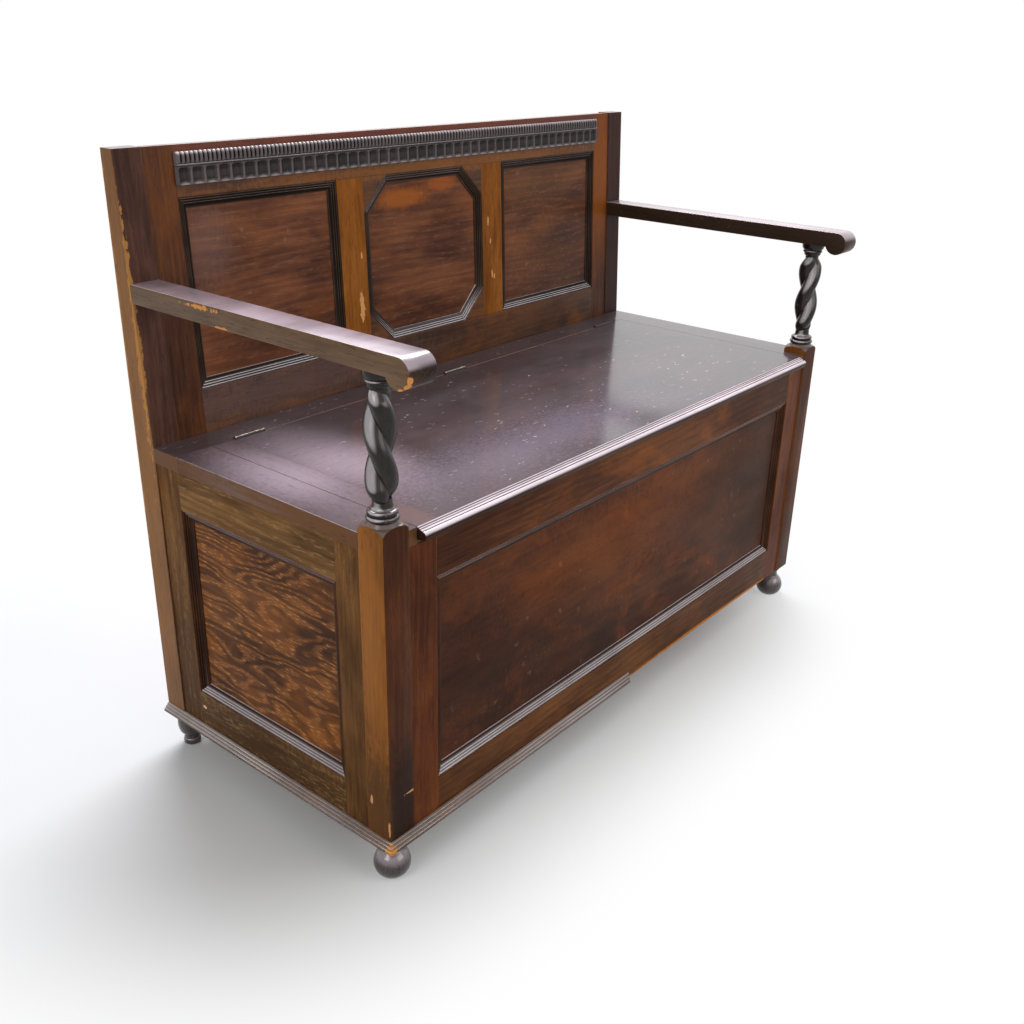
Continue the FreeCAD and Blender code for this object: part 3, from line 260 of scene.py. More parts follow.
# One marked place: an uneven oval about a point, ragged or soft at its edge.
marked, given, result = new_group(
    "marked place", {"Place": None, "Centre": None, "Long": 0.01, "Deep": 0.01, "High": 0.01, "Soft": 0.1,
                     "Ragged": 1.0}, ("Mark",))
away = vector(marked, "SUBTRACT", given["Place"], given["Centre"])
reach = wire(marked, "CombineXYZ", {0: given["Long"], 1: given["Deep"], 2: given["High"]})
away = vector(marked, "DIVIDE", away.outputs[0], reach.outputs[0])
away = wire(marked, "VectorMath", {0: away.outputs[0]}, operation="LENGTH")
jagged = stretched_noise(marked, given["Place"], (210.0, 210.0, 90.0), 3.0, 0.6)
jagged = plus(marked, jagged.outputs[0], -0.5)
ragged = plus(marked, away.outputs["Value"], times(marked, jagged, times(marked, given["Ragged"], 2.2)))
inner = wire(marked, "Math", {0: 1.0, 1: given["Soft"]}, operation="SUBTRACT")
marked.links.new(ramp(marked, ragged, plus(marked, given["Soft"], 1.0), inner.outputs[0]), result["Mark"])

# Relief masks: the hollows and the ridges of carved and moulded work, found from the mesh's pointiness; they lay
# painted shade in the hollows and a painted highlight on the ridges.
relief_shade_masks, given, result = new_group("relief shade and highlight masks", {"Sharp": 0.03}, ("Hollows", "Ridges"))
shape = wire(relief_shade_masks, "NewGeometry").outputs["Pointiness"]
for label, sense in (("Hollows", -1.0), ("Ridges", 1.0)):
    bend = times(relief_shade_masks, plus(relief_shade_masks, shape, -0.5), sense)
    relief_shade_masks.links.new(ramp(relief_shade_masks, bend, times(relief_shade_masks, given["Sharp"], 0.25), given["Sharp"]),
                          result[label])

ALONG = {"x": (0, 0, 0), "y": (0, 0, -pi / 2), "z": (0, pi / 2, 0)}


def mark(x, y, z, long, deep=0.1, high=0.1, soft=0.1, ragged=1.0):
    return {"Centre": (x, y, z), "Long": long, "Deep": deep, "High": high, "Soft": soft, "Ragged": ragged}


def stained_oak(name, grain, deep, middle, warm, worn=(176, 116, 58), pale=(150, 116, 92),
                pith=(0.0, 0.06, 0.11), ring=0.012, waver=0.03, rings=0.14, streaks=0.3, clouds=0.5,
                blotch=0.0, dashes=0.0, bare=0.34, rubbed=0.25, edge=0.003, dull=0.42, side_wax=0.0,
                top_wax=0.6, painted_sheen_amount=0.0, painted_sheen_colour=(176, 160, 170), specks=0.12, scratches=0.0, shine=0.06,
                bared_at=(), tinted=(), left=None, sides=None, painted_hollow_shade=0.0, painted_ridge_highlight=0.0, painted_glint=None,
                gloss=0.22):
    """Oak under old stain and wax: its grain direction, three tones, wear and polish, with painted light laid in: a
    painted sheen on upward faces, painted light on faces turned left, a painted glint, painted shade in hollows and
    a painted highlight on ridges.
    """
    material, tree = blank_material(name)
    coords = wire(tree, "TexCoord")
    place = coords.outputs["Object"]
    laid = wire(tree, "Mapping", {0: place, "Rotation": ALONG[grain]})
    laid = wire(tree, "Mapping", {0: laid.outputs[0], "Location": pith})
    figure = wire(tree, "Group", {"Grain": laid.outputs[0], "Ring width": ring, "Waver": waver},
                  node_tree=oak_figure)
    edges = wire(tree, "Group", {"Place": place, "Width": edge, "Bare": bare}, node_tree=edge_wear)
    use = wire(tree, "Group", {"Place": place}, node_tree=use_and_dust)
    axes = wire(tree, "SeparateXYZ", {0: coords.outputs["Normal"]})
    facing_up = ramp(tree, axes.outputs[2], 0.2, 0.65)

    lift = plus(tree, times(tree, figure.outputs["Rings"], rings),
                times(tree, figure.outputs["Streaks"], streaks))
    lift = plus(tree, lift, times(tree, figure.outputs["Cloud"], clouds))
    lift = plus(tree, lift, 0.5 - (rings * 0.8 + streaks + clouds) / 2)
    wood = wire(tree, "ValToRGB", {"Fac": lift})
    wood.color_ramp.elements[0].color = tone(*deep)
    wood.color_ramp.elements[0].position = 0.15
    wood.color_ramp.elements[1].color = tone(*warm)
    wood.color_ramp.elements[1].position = 0.85
    wood.color_ramp.elements.new(0.5).color = tone(*middle)
    colour = wood.outputs[0]

    def cover(mask, over):
        return wire(tree, "Mix", {0: mask, 6: colour, 7: tone(*over)}, data_type="RGBA",
                    clamp_factor=True).outputs[2]

    def place_mark(spot):
        return wire(tree, "Group", {"Place": place, **spot}, node_tree=marked).outputs[0]

    if blotch:
        colour = cover(times(tree, figure.outputs["Blotch"], blotch), worn)
    uneven = plus(tree, times(tree, figure.outputs["Cloud"], 0.4), times(tree, figure.outputs["Streaks"], 0.25))
    uneven = plus(tree, uneven, 0.4)
    # Painted light from the left: faces turned to the left are laid over with a paler colour.
    if left:
        turned_left = ramp(tree, axes.outputs[0], -0.6, -0.9)
        colour = cover(times(tree, turned_left, uneven), left)
    for over, strength, spot in tinted:
        colour = cover(times(tree, place_mark(spot), strength), over)
    if sides:
        upright = wire(tree, "Math", {0: 1.0, 1: facing_up}, operation="SUBTRACT")
        colour = cover(times(tree, upright.outputs[0], plus(tree, uneven, 0.2)), sides)
    if dashes:
        colour = cover(times(tree, figure.outputs["Pores"], dashes), pale)
    elif streaks:
        colour = cover(times(tree, figure.outputs["Pores"], 0.3), [v * 0.4 for v in deep])
    # Painted sheen: upward faces are laid over with a pale sheen colour, a highlight of light from above, made
    # patchy by the bloom.
    if painted_sheen_amount:
        sheen_patchiness = plus(tree, times(tree, use.outputs["Bloom"], 0.4), 0.6)
        colour = cover(times(tree, facing_up, times(tree, sheen_patchiness, painted_sheen_amount)), painted_sheen_colour)
    # Painted glint: faces turned towards one given direction are laid over with a bright colour, a painted
    # highlight.
    if painted_glint:
        lit, over, tight = painted_glint
        toward = vector(tree, "DOT_PRODUCT", coords.outputs["Normal"], Vector(lit).normalized())
        toward = ramp(tree, toward.outputs["Value"], tight, tight + (1 - tight) * 0.7)
        colour = cover(times(tree, toward, plus(tree, times(tree, use.outputs["Bloom"], 0.4), 0.6)), over)
    # Painted shade darkens the hollows of the relief, and a painted highlight in the sheen colour lightens its
    # ridges.
    if painted_hollow_shade:
        carved = wire(tree, "Group", {}, node_tree=relief_shade_masks)
        colour = cover(times(tree, carved.outputs["Ridges"], painted_ridge_highlight), [v * 0.8 for v in painted_sheen_colour])
        colour = cover(times(tree, carved.outputs["Hollows"], painted_hollow_shade), [v * 0.35 for v in deep])
    colour = cover(times(tree, edges.outputs["Rubbed"], rubbed), worn)
    bared = edges.outputs["Bare wood"]
    for spot in bared_at:
        bared = wire(tree, "Math", {0: bared, 1: place_mark(spot)}, operation="MAXIMUM").outputs[0]
    colour = cover(bared, worn)
    marks = plus(tree, times(tree, use.outputs["Scratches"], scratches), times(tree, use.outputs["Specks"], specks))
    marks = times(tree, marks, plus(tree, times(tree, figure.outputs["Cloud"], 0.9), 0.1))
    if sides:
        marks = times(tree, marks, facing_up)
    colour = cover(marks, [min(255, v * 1.1) for v in pale])

    rough = plus(tree, times(tree, use.outputs["Bloom"], 0.1), times(tree, figure.outputs["Streaks"], 0.06))
    rough = plus(tree, plus(tree, rough, times(tree, bared, 0.25)), dull - 0.08)
    height = plus(tree, times(tree, figure.outputs["Pores"], -0.5 if streaks else 0.0),
                  times(tree, figure.outputs["Streaks"], 0.25 if streaks else 0.0))
    height = plus(tree, height, times(tree, use.outputs["Bloom"], 0.08))
    grained = wire(tree, "Bump", {"Height": height, "Normal": edges.outputs["Normal"], "Strength": 0.3,
                                  "Distance": 0.0006})
    wax = plus(tree, times(tree, facing_up, top_wax - side_wax), side_wax)
    polish = wire(tree, "BsdfPrincipled", {
        "Base Color": colour, "Roughness": rough, "Normal": grained.outputs[0], "Coat Weight": wax,
        "Coat Roughness": gloss, "Coat IOR": 1.6, "Specular IOR Level": shine,
        "Specular Tint": (1.0, 0.94, 1.0, 1)})
    wire(tree, "OutputMaterial", {"Surface": polish.outputs[0]})
    return material


def finish_board(material, *names):
    for name in names:
        boards[name].material_slots[0].material = material


def go_to(mode):
    bpy.ops.object.mode_set(mode=mode)


def start_turning(name, x, y, z, radius):
    """Puts a disc on the lathe, to be drawn up step by step."""
    choose()
    bpy.ops.mesh.primitive_circle_add(vertices=64, radius=radius, fill_type="NGON", location=(x, y, z))
    bpy.ops.object.transform_apply(location=True)
    bpy.context.object.name = name
    go_to("EDIT")
    bpy.ops.mesh.select_mode(type="FACE")
    bpy.ops.mesh.select_all(action="SELECT")
    return {"x": x, "y": y, "z": z, "radius": radius, "piece": bpy.context.object}


def turn_to(work, z, radius):
    """Draws the end face to a height and a radius."""
    bpy.ops.mesh.extrude_region_move(TRANSFORM_OT_translate={"value": (0, 0, z - work["z"])})
    scale = radius / work["radius"]
    bpy.ops.transform.resize(value=(scale, scale, 1), center_override=(work["x"], work["y"], z))
    work["z"], work["radius"] = z, radius


def turn_bead(work, z, radius, steps=8):
    """A half-round ring up to height z, radius at its belly, same neck above."""
    low, neck = work["z"], work["radius"]
    for step in range(1, steps + 1):
        angle = pi * step / steps
        turn_to(work, low + (z - low) * (1 - cos(angle)) / 2, neck + (radius - neck) * sin(angle))


def turn_curve(work, z, radius, steps=6, hollow=False):
    """A quarter curve to a height and radius, full or hollow."""
    low, wide = work["z"], work["radius"]
    for step in range(1, steps + 1):
        angle = pi / 2 * step / steps
        along, over = (1 - cos(angle), sin(angle)) if hollow else (sin(angle), 1 - cos(angle))
        turn_to(work, low + (z - low) * along, wide + (radius - wide) * over)


def part_off(work):
    """Takes the turning off the lathe, its faces outward and its curves smooth."""
    bpy.ops.mesh.select_all(action="SELECT")
    bpy.ops.mesh.normals_make_consistent(inside=False)
    go_to("OBJECT")
    bpy.ops.object.shade_smooth_by_angle(angle=radians(35))
    return work["piece"]


def fit(piece, material, node):
    """Gives a new piece its finish and puts it in its board's place."""
    piece.data.materials.append(material)
    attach(piece, "settle")
    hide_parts(node)


post_x, post_y = 0.5145, 0.192
# The turned work gets a painted highlight on faces turned up and to the left, a painted sheen on upward faces and
# painted shade in its hollows.
black_turned = stained_oak(
    "black turned oak", "z", (12, 10, 8), (24, 20, 17), (42, 34, 28), worn=(120, 104, 88), pale=(150, 142, 134),
    ring=0.006, bare=0.24, edge=0.0015, dull=0.3, side_wax=0.3, top_wax=1.0, specks=0.3, shine=0.08, painted_sheen_amount=0.35,
    painted_hollow_shade=0.8, gloss=0.16, painted_glint=((-0.78, -0.2, 0.5), (196, 190, 194), 0.80))
# The feet get a painted sheen on their upward faces.
foot_oak = stained_oak(
    "worn black foot oak", "z", (34, 29, 28), (66, 58, 56), (96, 84, 78), worn=(120, 84, 62), pale=(150, 142, 134),
    ring=0.006, bare=0.24, edge=0.0015, dull=0.34, side_wax=0.5, top_wax=1.0, specks=0.3, shine=0.3, painted_sheen_amount=0.7,
    gloss=0.16)
for side, x in (("left", -post_x), ("right", post_x)):
    work = start_turning(f"front_{side}_ball_foot", x, -post_y, 0.0, 0.0110)
    turn_to(work, 0.0005, 0.0130)
    ball, belly = 0.0243, 0.0190
    for step in range(1, 15):
        angle = radians(-56 + 112 * step / 14)
        tall = 0.0222 if angle < 0 else 0.0250
        turn_to(work, belly + tall * sin(angle), ball * cos(angle))
    turn_curve(work, 0.0480, 0.0124, hollow=True)
    turn_to(work, 0.0510, 0.0125)
    turn_bead(work, 0.0548, 0.0148, steps=6)
    turn_to(work, 0.0560, 0.0130)
    turn_to(work, 0.0600, 0.0130)
    fit(part_off(work), foot_oak, "front_feet")

    work = start_turning(f"rear_{side}_pear_foot", x, 0.2375, 0.0, 0.0100)
    turn_to(work, 0.0010, 0.0115)
    turn_bead(work, 0.0100, 0.0128, steps=6)
    turn_to(work, 0.0175, 0.0105)
    turn_bead(work, 0.0550, 0.0188, steps=12)
    turn_to(work, 0.0570, 0.0126)
    turn_to(work, 0.0600, 0.0130)
    fit(part_off(work), foot_oak, "rear_feet")

# --- Front frame ---
# Two stiles tenoned between a deep top rail and a bottom rail, of plain dark
# oak. The bottom rail's lower edge is bare where its moulding has gone.
frame_upright = stained_oak(
    "dark frame oak, upright", "z", (60, 26, 9), (90, 44, 18), (112, 60, 25), pith=(0.0, 0.09, 0.05), blotch=0.12)
frame_level = stained_oak(
    "dark frame oak, level", "x", (52, 25, 11), (82, 45, 22), (116, 68, 32), worn=(158, 88, 30),
    pith=(0.2, 0.31, 0.07), blotch=0.4)
bottom_level = stained_oak(
    "dark frame oak with a bare edge", "x", (62, 33, 15), (92, 55, 28), (120, 76, 38), worn=(204, 124, 48),
    pith=(0.4, 0.11, 0.37), blotch=0.1,
    bared_at=(mark(0.245, -0.2105, 0.0585, long=0.30, deep=0.03, high=0.0062, ragged=0.3),))
finish_board(frame_upright, "front_left_stile", "front_right_stile")
finish_board(frame_level, "front_top_rail")
finish_board(bottom_level, "front_bottom_rail")

# --- Front panel ---
# One wide oak board, its grain level, with clouds of darker stain, behind a
# mitred strip of three reeds that hides the groove.
front_board = stained_oak(
    "clouded front panel", "x", (46, 22, 11), (77, 42, 22), (102, 58, 29), worn=(140, 70, 22),
    pith=(0.4, 0.5, -0.25), ring=0.02, waver=0.05, blotch=0.5, clouds=0.6, streaks=0.2, scratches=0.3,
    tinted=(
        ((52, 28, 18), 0.5, mark(-0.38, -0.2, 0.25, long=0.13, high=0.14, soft=0.9)),
        ((134, 70, 24), 0.4, mark(-0.02, -0.2, 0.33, long=0.22, high=0.07, soft=0.9)),
        ((36, 18, 11), 0.5, mark(-0.18, -0.2, 0.18, long=0.14, high=0.06, soft=0.9)),
        ((54, 35, 24), 0.7, mark(0.40, -0.2, 0.28, long=0.16, high=0.2, soft=0.9))))
# The reeds get a painted sheen on their upward faces and painted shade in their grooves.
reeded = dict(ring=0.009, bare=0.2, rubbed=0.05, edge=0.0008, dull=0.36, top_wax=1.0, painted_sheen_amount=1.0,
              painted_sheen_colour=(232, 220, 226), rings=0, streaks=0)
moulding_oak = stained_oak(
    "reeded moulding oak", "x", (42, 30, 22), (68, 52, 41), (88, 70, 57), worn=(140, 112, 96), pith=(0, 0.21, 0.13),
    painted_hollow_shade=0.9, **reeded)
brown_moulding = stained_oak(
    "reeded brown moulding oak", "x", (44, 22, 10), (76, 42, 22), (98, 58, 30), worn=(140, 104, 80),
    pith=(0, 0.41, 0.13), painted_hollow_shade=0.7, **reeded)
finish_board(front_board, "front_panel")


def step_in(across, rise=0.0):
    bpy.ops.mesh.inset(thickness=across, depth=rise, use_even_offset=True, use_boundary=True)


def reed(drop):
    """One rounded reed after a fine groove, its far side lower by drop."""
    step_in(0.0002, -0.0010)
    step_in(0.0003, 0.0)
    step_in(0.0002, 0.0008)
    step_in(0.0007, 0.0002)
    step_in(0.0009, -0.0006)
    step_in(0.0009, 0.0006 - drop)


def pick(piece, kind, wanted):
    """In edit mode, picks the corners, edges or faces that are wanted."""
    bpy.ops.mesh.select_mode(type=kind)
    bpy.ops.mesh.select_all(action="DESELECT")
    go_to("OBJECT")
    for part in {"VERT": piece.data.vertices, "EDGE": piece.data.edges, "FACE": piece.data.polygons}[kind]:
        part.select = wanted(part)
    go_to("EDIT")


def reeded_frame(name, width, height, thickness, cant=0.0):
    """Mitred reeded strip round an opening, facing -Y, its back face at y 0."""
    choose()
    bpy.ops.mesh.primitive_plane_add(size=1, rotation=(pi / 2, 0, 0))
    piece = bpy.context.object
    piece.name = name
    piece.scale = (width, height, 1)
    bpy.ops.object.transform_apply(location=False, rotation=True, scale=True)
    go_to("EDIT")
    bpy.ops.mesh.select_all(action="SELECT")
    if cant:
        bpy.ops.mesh.select_mode(type="VERT")
        bpy.ops.mesh.bevel(offset=cant, offset_type="OFFSET", affect="VERTICES")
    bpy.ops.mesh.select_mode(type="FACE")
    bpy.ops.mesh.select_all(action="SELECT")
    bpy.ops.mesh.extrude_region_move(TRANSFORM_OT_translate={"value": (0, -thickness, 0)})
    step_in(0.0006, 0.0)
    fall = (thickness - 0.0016) / 4
    for _ in range(3):
        reed(fall)
    step_in(0.0018, -fall * 0.5)
    step_in(0.0020, -fall * 0.5)
    step_in(0.0003, -0.0016)
    total = 0.0006 + 3 * 0.0032 + 0.0041
    bpy.ops.mesh.delete(type="FACE")
    pick(piece, "VERT", lambda vertex: vertex.co.y > -0.0012)
    bpy.ops.transform.resize(value=(1, 0, 1), center_override=(0, 0, 0))
    pick(piece, "FACE", lambda face: abs(face.center.y) < 1e-6 and abs(face.center.x) < width / 4
         and abs(face.center.z) < height / 4)
    step_in(total)
    bpy.ops.mesh.delete(type="FACE")
    bpy.ops.mesh.select_all(action="SELECT")
    bpy.ops.mesh.remove_doubles(threshold=0.00005)
    bpy.ops.mesh.normals_make_consistent(inside=False)
    go_to("OBJECT")
    bpy.ops.object.shade_smooth_by_angle(angle=radians(40))
    return piece


def set_in(piece, x, y, z, about_z=0.0, rake=0.0):
    """Moves a flat-drawn piece to its place and leaves its place in its mesh."""
    choose(piece)
    piece.matrix_world = (Matrix.Rotation(about_z, 4, "Z") if about_z else Matrix.Identity(4)) @ piece.matrix_world
    piece.matrix_world = Matrix.Translation((x, y, z)) @ Matrix.Rotation(rake, 4, "X") @ piece.matrix_world
    bpy.ops.object.transform_apply(location=True, rotation=True, scale=True)


front_reeds = reeded_frame("front_panel_reeds", 0.894, 0.2897, 0.0082)
set_in(front_reeds, 0, -0.2015, 0.26485)
fit(front_reeds, brown_moulding, "front_panel_moulding")

# --- End frames ---
# The chest's ends are framed like the front, in paler and more open oak that
# has lost much of its stain, round a panel with a wild flame figure.
end_upright = stained_oak(
    "pale end oak, upright", "z", (72, 45, 20), (106, 71, 36), (134, 92, 48), worn=(150, 98, 48),
    pale=(160, 122, 72), pith=(0.3, 0.12, 0.02), ring=0.008, dull=0.5, dashes=0.3,
    tinted=(((48, 30, 17), 0.65, mark(-0.53, 0.195, 0.13, long=0.03, deep=0.06, high=0.16, soft=0.8)),))
end_level = stained_oak(
    "pale end oak, level", "y", (72, 48, 23), (108, 76, 41), (138, 100, 56), worn=(226, 190, 160),
    pale=(168, 136, 92), pith=(0.1, 0.27, 0.04), ring=0.008, dull=0.5, dashes=0.4, bare=0.2, rubbed=0.08,
    tinted=(((46, 29, 17), 0.65, mark(-0.53, 0.04, 0.09, long=0.03, deep=0.26, high=0.035, soft=0.5)),),
    bared_at=(mark(-0.533, 0.1669, 0.1013, long=0.003, deep=0.004, high=0.0022),))
end_flame = stained_oak(
    "flame figured end panel", "y", (58, 34, 17), (98, 60, 32), (134, 84, 42), worn=(164, 96, 38),
    pale=(214, 148, 84), pith=(0.05, 0.06, -0.3), ring=0.0065, waver=0.12, rings=0.4, streaks=0.2, clouds=0.4,
    dashes=0.6, blotch=0.35, dull=0.44)
for side, sign in (("left", -1), ("right", 1)):
    finish_board(end_upright, f"{side}_end_front_stile", f"{side}_end_rear_stile")
    finish_board(end_level, f"{side}_end_top_rail", f"{side}_end_bottom_rail")
    finish_board(end_flame, f"{side}_end_panel")
    end_reeds = reeded_frame(f"{side}_end_panel_reeds", 0.302, 0.283, 0.0082)
    set_in(end_reeds, 0.524 * sign, 0.0215, 0.2675, about_z=pi / 2 * sign)
    fit(end_reeds, brown_moulding, f"{side}_end_moulding")

# --- Chest rear and bottom ---
# Plain unpolished boards and rails that close the chest behind and below.
inner_oak = stained_oak(
    "unpolished oak", "x", (74, 54, 36), (100, 76, 50), (130, 100, 68), worn=(150, 118, 82), pith=(0, 0.4, 0.2),
    ring=0.016, dull=0.66, top_wax=0.0, rings=0.3)
finish_board(inner_oak, "bottom_board", "rear_board", "rear_bottom_rail", "rear_seat_rail")

# --- Base moulding ---
# A reeded strip planted round the foot of the chest. It's broken off along the
# right half of the front.
# The base moulding gets a painted sheen on its upward faces and painted shade in its grooves.
base_oak = stained_oak(
    "base moulding oak", "x", (48, 32, 24), (78, 56, 44), (104, 78, 62), worn=(220, 150, 66), pith=(0, 0.11, 0.33),
    ring=0.007, bare=0.2, rubbed=0.1, edge=0.001, dull=0.36, side_wax=0.2, top_wax=1.0, painted_sheen_amount=0.85,
    painted_sheen_colour=(190, 180, 178), shine=0.12, rings=0, streaks=0, painted_hollow_shade=0.8,
    bared_at=(mark(-0.5435, -0.221, 0.064, long=0.011, deep=0.011, high=0.008),))


def first_strip(name, start, end, depth):
    """The flat underside of a planted strip, from start to end along X."""
    choose()
    bpy.ops.mesh.primitive_plane_add(size=1)
    piece = bpy.context.object
    piece.name = name
    piece.scale = (end - start, depth, 1)
    piece.location = ((start + end) / 2, -depth / 2, 0)
    bpy.ops.object.transform_apply(location=True, scale=True)
    go_to("EDIT")
    pick(piece, "EDGE", lambda edge: all(piece.data.vertices[v].co.y < -depth * 0.9 for v in edge.vertices))
    return piece


def draw_on(back=0.0, up=0.0):
    """Carries the profile's edge on: back towards the chest, or up."""
    bpy.ops.mesh.extrude_region_move(TRANSFORM_OT_translate={"value": (0, back, up)})


def reed_up(back, up):
    """A small round reed climbing a sloping profile, after a fine groove."""
    draw_on(0.0007, 0.0001)
    draw_on(-0.0005, up * 0.15)
    draw_on(back * 0.1, up * 0.35)
    draw_on(back * 0.3, up * 0.3)
    draw_on(back * 0.6 - 0.0002, up * 0.2)


def close_strip(piece):
    """Welds the profile to its start and caps both ends."""
    bpy.ops.mesh.select_all(action="SELECT")
    bpy.ops.mesh.remove_doubles(threshold=0.00002)
    bpy.ops.mesh.select_all(action="DESELECT")
    bpy.ops.mesh.select_non_manifold(extend=False)
    bpy.ops.mesh.edge_face_add()
    bpy.ops.mesh.select_all(action="SELECT")
    bpy.ops.mesh.normals_make_consistent(inside=False)
    go_to("OBJECT")
    bpy.ops.object.shade_smooth_by_angle(angle=radians(40))
    return piece


def base_strip(name, start, end):
    piece = first_strip(name, start, end, 0.0108)
    draw_on(0.0, 0.0016)
    for _ in range(3):
        reed_up(0.0030, 0.0031)
    go_to("OBJECT")
    top = max(vertex.co.z for vertex in piece.data.vertices)
    rear = [v for v in piece.data.vertices if v.co.z > top - 1e-6]
    reached = rear[0].co.y
    go_to("EDIT")
    draw_on(-reached, 0.0)
    draw_on(0.0, -top)
    return close_strip(piece)


def mitre(piece, x, y, slope_x, slope_y):
    """Saws off what lies beyond an upright plane through x, y."""
    choose(piece)
    go_to("EDIT")
    bpy.ops.mesh.select_all(action="SELECT")
    bpy.ops.mesh.bisect(plane_co=(x, y, 0), plane_no=(slope_x, slope_y, 0), use_fill=True, clear_outer=True)
    go_to("OBJECT")


front_strip = base_strip("front_base_strip", -0.5440, -0.0080)
set_in(front_strip, 0, -0.2107, 0.0601)
mitre(front_strip, -0.5440, -0.2215, -1, 1)
mitre(front_strip, -0.0080, -0.2107, 1, -0.8)
fit(front_strip, base_oak, "front_base_moulding")
left_strip = base_strip("left_base_strip", -0.2575, 0.2215)
set_in(left_strip, -0.5331, 0, 0.0601, about_z=-pi / 2)
mitre(left_strip, -0.5440, -0.2215, 1, -1)
fit(left_strip, base_oak, "left_base_moulding")
right_strip = base_strip("right_base_strip", -0.1765, 0.2575)
set_in(right_strip, 0.5331, 0, 0.0601, about_z=pi / 2)
fit(right_strip, base_oak, "right_base_moulding")

# --- Rear posts ---
# Square oak posts from floor to top of the back, raked above the seat. The
# left one's outer arris is worn to bare wood all the way up.
# Faces turned to the left get the paler left colour as painted light from the left, and upward faces a painted
# sheen.
rear_post_oak = stained_oak(
    "rear post oak", "z", (54, 33, 26), (82, 54, 43), (104, 72, 58), worn=(178, 126, 70), pith=(0.5, 0.19, 0.16),
    bare=0.26, rubbed=0.2, edge=0.004, dull=0.44, left=(142, 98, 54), painted_sheen_amount=0.3, shine=0.1,
    # A darker cover over the right rear post's upper part, laid after the painted left-side light and so covering
    # it on that post's inner face.
    tinted=(((42, 21, 17), 0.75, mark(0.515, 0.235, 0.7, long=0.04, high=0.6, soft=0.4, ragged=0.3)),),
    bared_at=(
        mark(-0.535, 0.2250, 0.70, long=0.004, deep=0.006, high=0.21, ragged=1.2),
        mark(-0.535, 0.2580, 0.55, long=0.004, deep=0.003, high=0.3, ragged=1.2)))
finish_board(rear_post_oak, "left_rear_post", "right_rear_post")

# --- Back frame ---
# A raked frame of two rails, two stiles and two paler muntins round three
# panels; the middle one is cut to an octagon by four corner blocks.
back_upright = stained_oak(
    "back stile oak", "z", (56, 32, 22), (86, 52, 34), (112, 68, 38), worn=(146, 84, 36), pith=(0.1, 0.16, 0.22),
    blotch=0.3, shine=0.1,
    tinted=(((156, 86, 28), 0.7, mark(0.472, 0.23, 0.76, long=0.04, high=0.13, soft=0.7, ragged=0.3)),))
# Upward faces of the rails get a painted sheen.
back_level = stained_oak(
    "back rail oak", "x", (54, 32, 20), (86, 54, 34), (114, 70, 38), worn=(152, 90, 32), pith=(0.6, 0.13, 0.27),
    blotch=0.4, painted_sheen_amount=0.3, shine=0.14, side_wax=0.1,
    tinted=(
        ((150, 92, 34), 0.6, mark(0.05, 0.23, 0.80, long=0.35, high=0.012, soft=0.5)),
        ((116, 54, 42), 0.6, mark(0.0, 0.24, 0.854, long=0.6, high=0.012, soft=0.4, ragged=0.3)),
        # This greyish-lilac band on the bottom rail is painted reflection.
        ((112, 94, 96), 0.45, mark(-0.30, 0.22, 0.52, long=0.22, high=0.03, soft=0.8))))
muntin_oak = stained_oak(
    "pale muntin oak", "z", (106, 58, 19), (150, 90, 34), (176, 112, 50), worn=(230, 170, 106),
    pith=(0.3, 0.23, 0.09), ring=0.02, bare=0.3, rubbed=0.1, clouds=0.35,
    bared_at=(
        mark(-0.1478, 0.2245, 0.606, long=0.0045, deep=0.02, high=0.024, ragged=1.4),
        mark(-0.1435, 0.2277, 0.683, long=0.002, deep=0.02, high=0.005),
        mark(0.1480, 0.2286, 0.703, long=0.0018, deep=0.02, high=0.007),
        mark(0.1565, 0.2246, 0.613, long=0.0018, deep=0.02, high=0.006),
        mark(0.1620, 0.2246, 0.608, long=0.0015, deep=0.02, high=0.005),
        mark(0.1530, 0.2273, 0.668, long=0.0018, deep=0.02, high=0.005)))
back_board = stained_oak(
    "streaked back panel", "x", (66, 35, 23), (106, 63, 41), (138, 84, 52), worn=(150, 84, 34), pale=(160, 116, 92),
    pith=(0.7, 0.33, -0.2), ring=0.009, waver=0.04, blotch=0.45, rings=0.12, streaks=0.22, clouds=0.6, dashes=0.25,
    dull=0.38, shine=0.1, side_wax=0.04, scratches=0.3,
    tinted=(
        ((178, 98, 30), 0.75, mark(-0.045, 0.23, 0.757, long=0.05, high=0.014, soft=0.5, ragged=0.4)),
        ((178, 92, 30), 0.6, mark(0.045, 0.23, 0.772, long=0.03, high=0.010, soft=0.5, ragged=0.4)),
        # This greyish-lilac patch on the left panel is painted reflection.
        ((124, 100, 96), 0.4, mark(-0.41, 0.23, 0.73, long=0.035, high=0.05, soft=0.8)),
        ((62, 40, 24), 0.6, mark(0.36, 0.23, 0.60, long=0.10, high=0.08, soft=0.9)),
        ((84, 62, 40), 0.5, mark(0.30, 0.23, 0.75, long=0.10, high=0.04, soft=0.9))))
finish_board(back_upright, "back_left_stile", "back_right_stile")
finish_board(back_level, "back_top_rail", "back_bottom_rail", "back_corner_blocks")
finish_board(muntin_oak, "back_left_muntin", "back_right_muntin")
finish_board(back_board, "back_left_panel", "back_centre_panel", "back_right_panel")
back_rake = radians(-2.519)
for place, middle_x, cant in (("left", -0.31667, 0.0), ("centre", 0.0, 0.049), ("right", 0.31667, 0.0)):
    panel_reeds = reeded_frame(f"back_{place}_panel_reeds", 0.26667, 0.2515, 0.0064, cant)
    set_in(panel_reeds, 0, 0.0070, 0.18525)
    set_in(panel_reeds, middle_x, 0.219, 0.485, rake=back_rake)
    fit(panel_reeds, moulding_oak, f"back_{place}_moulding")

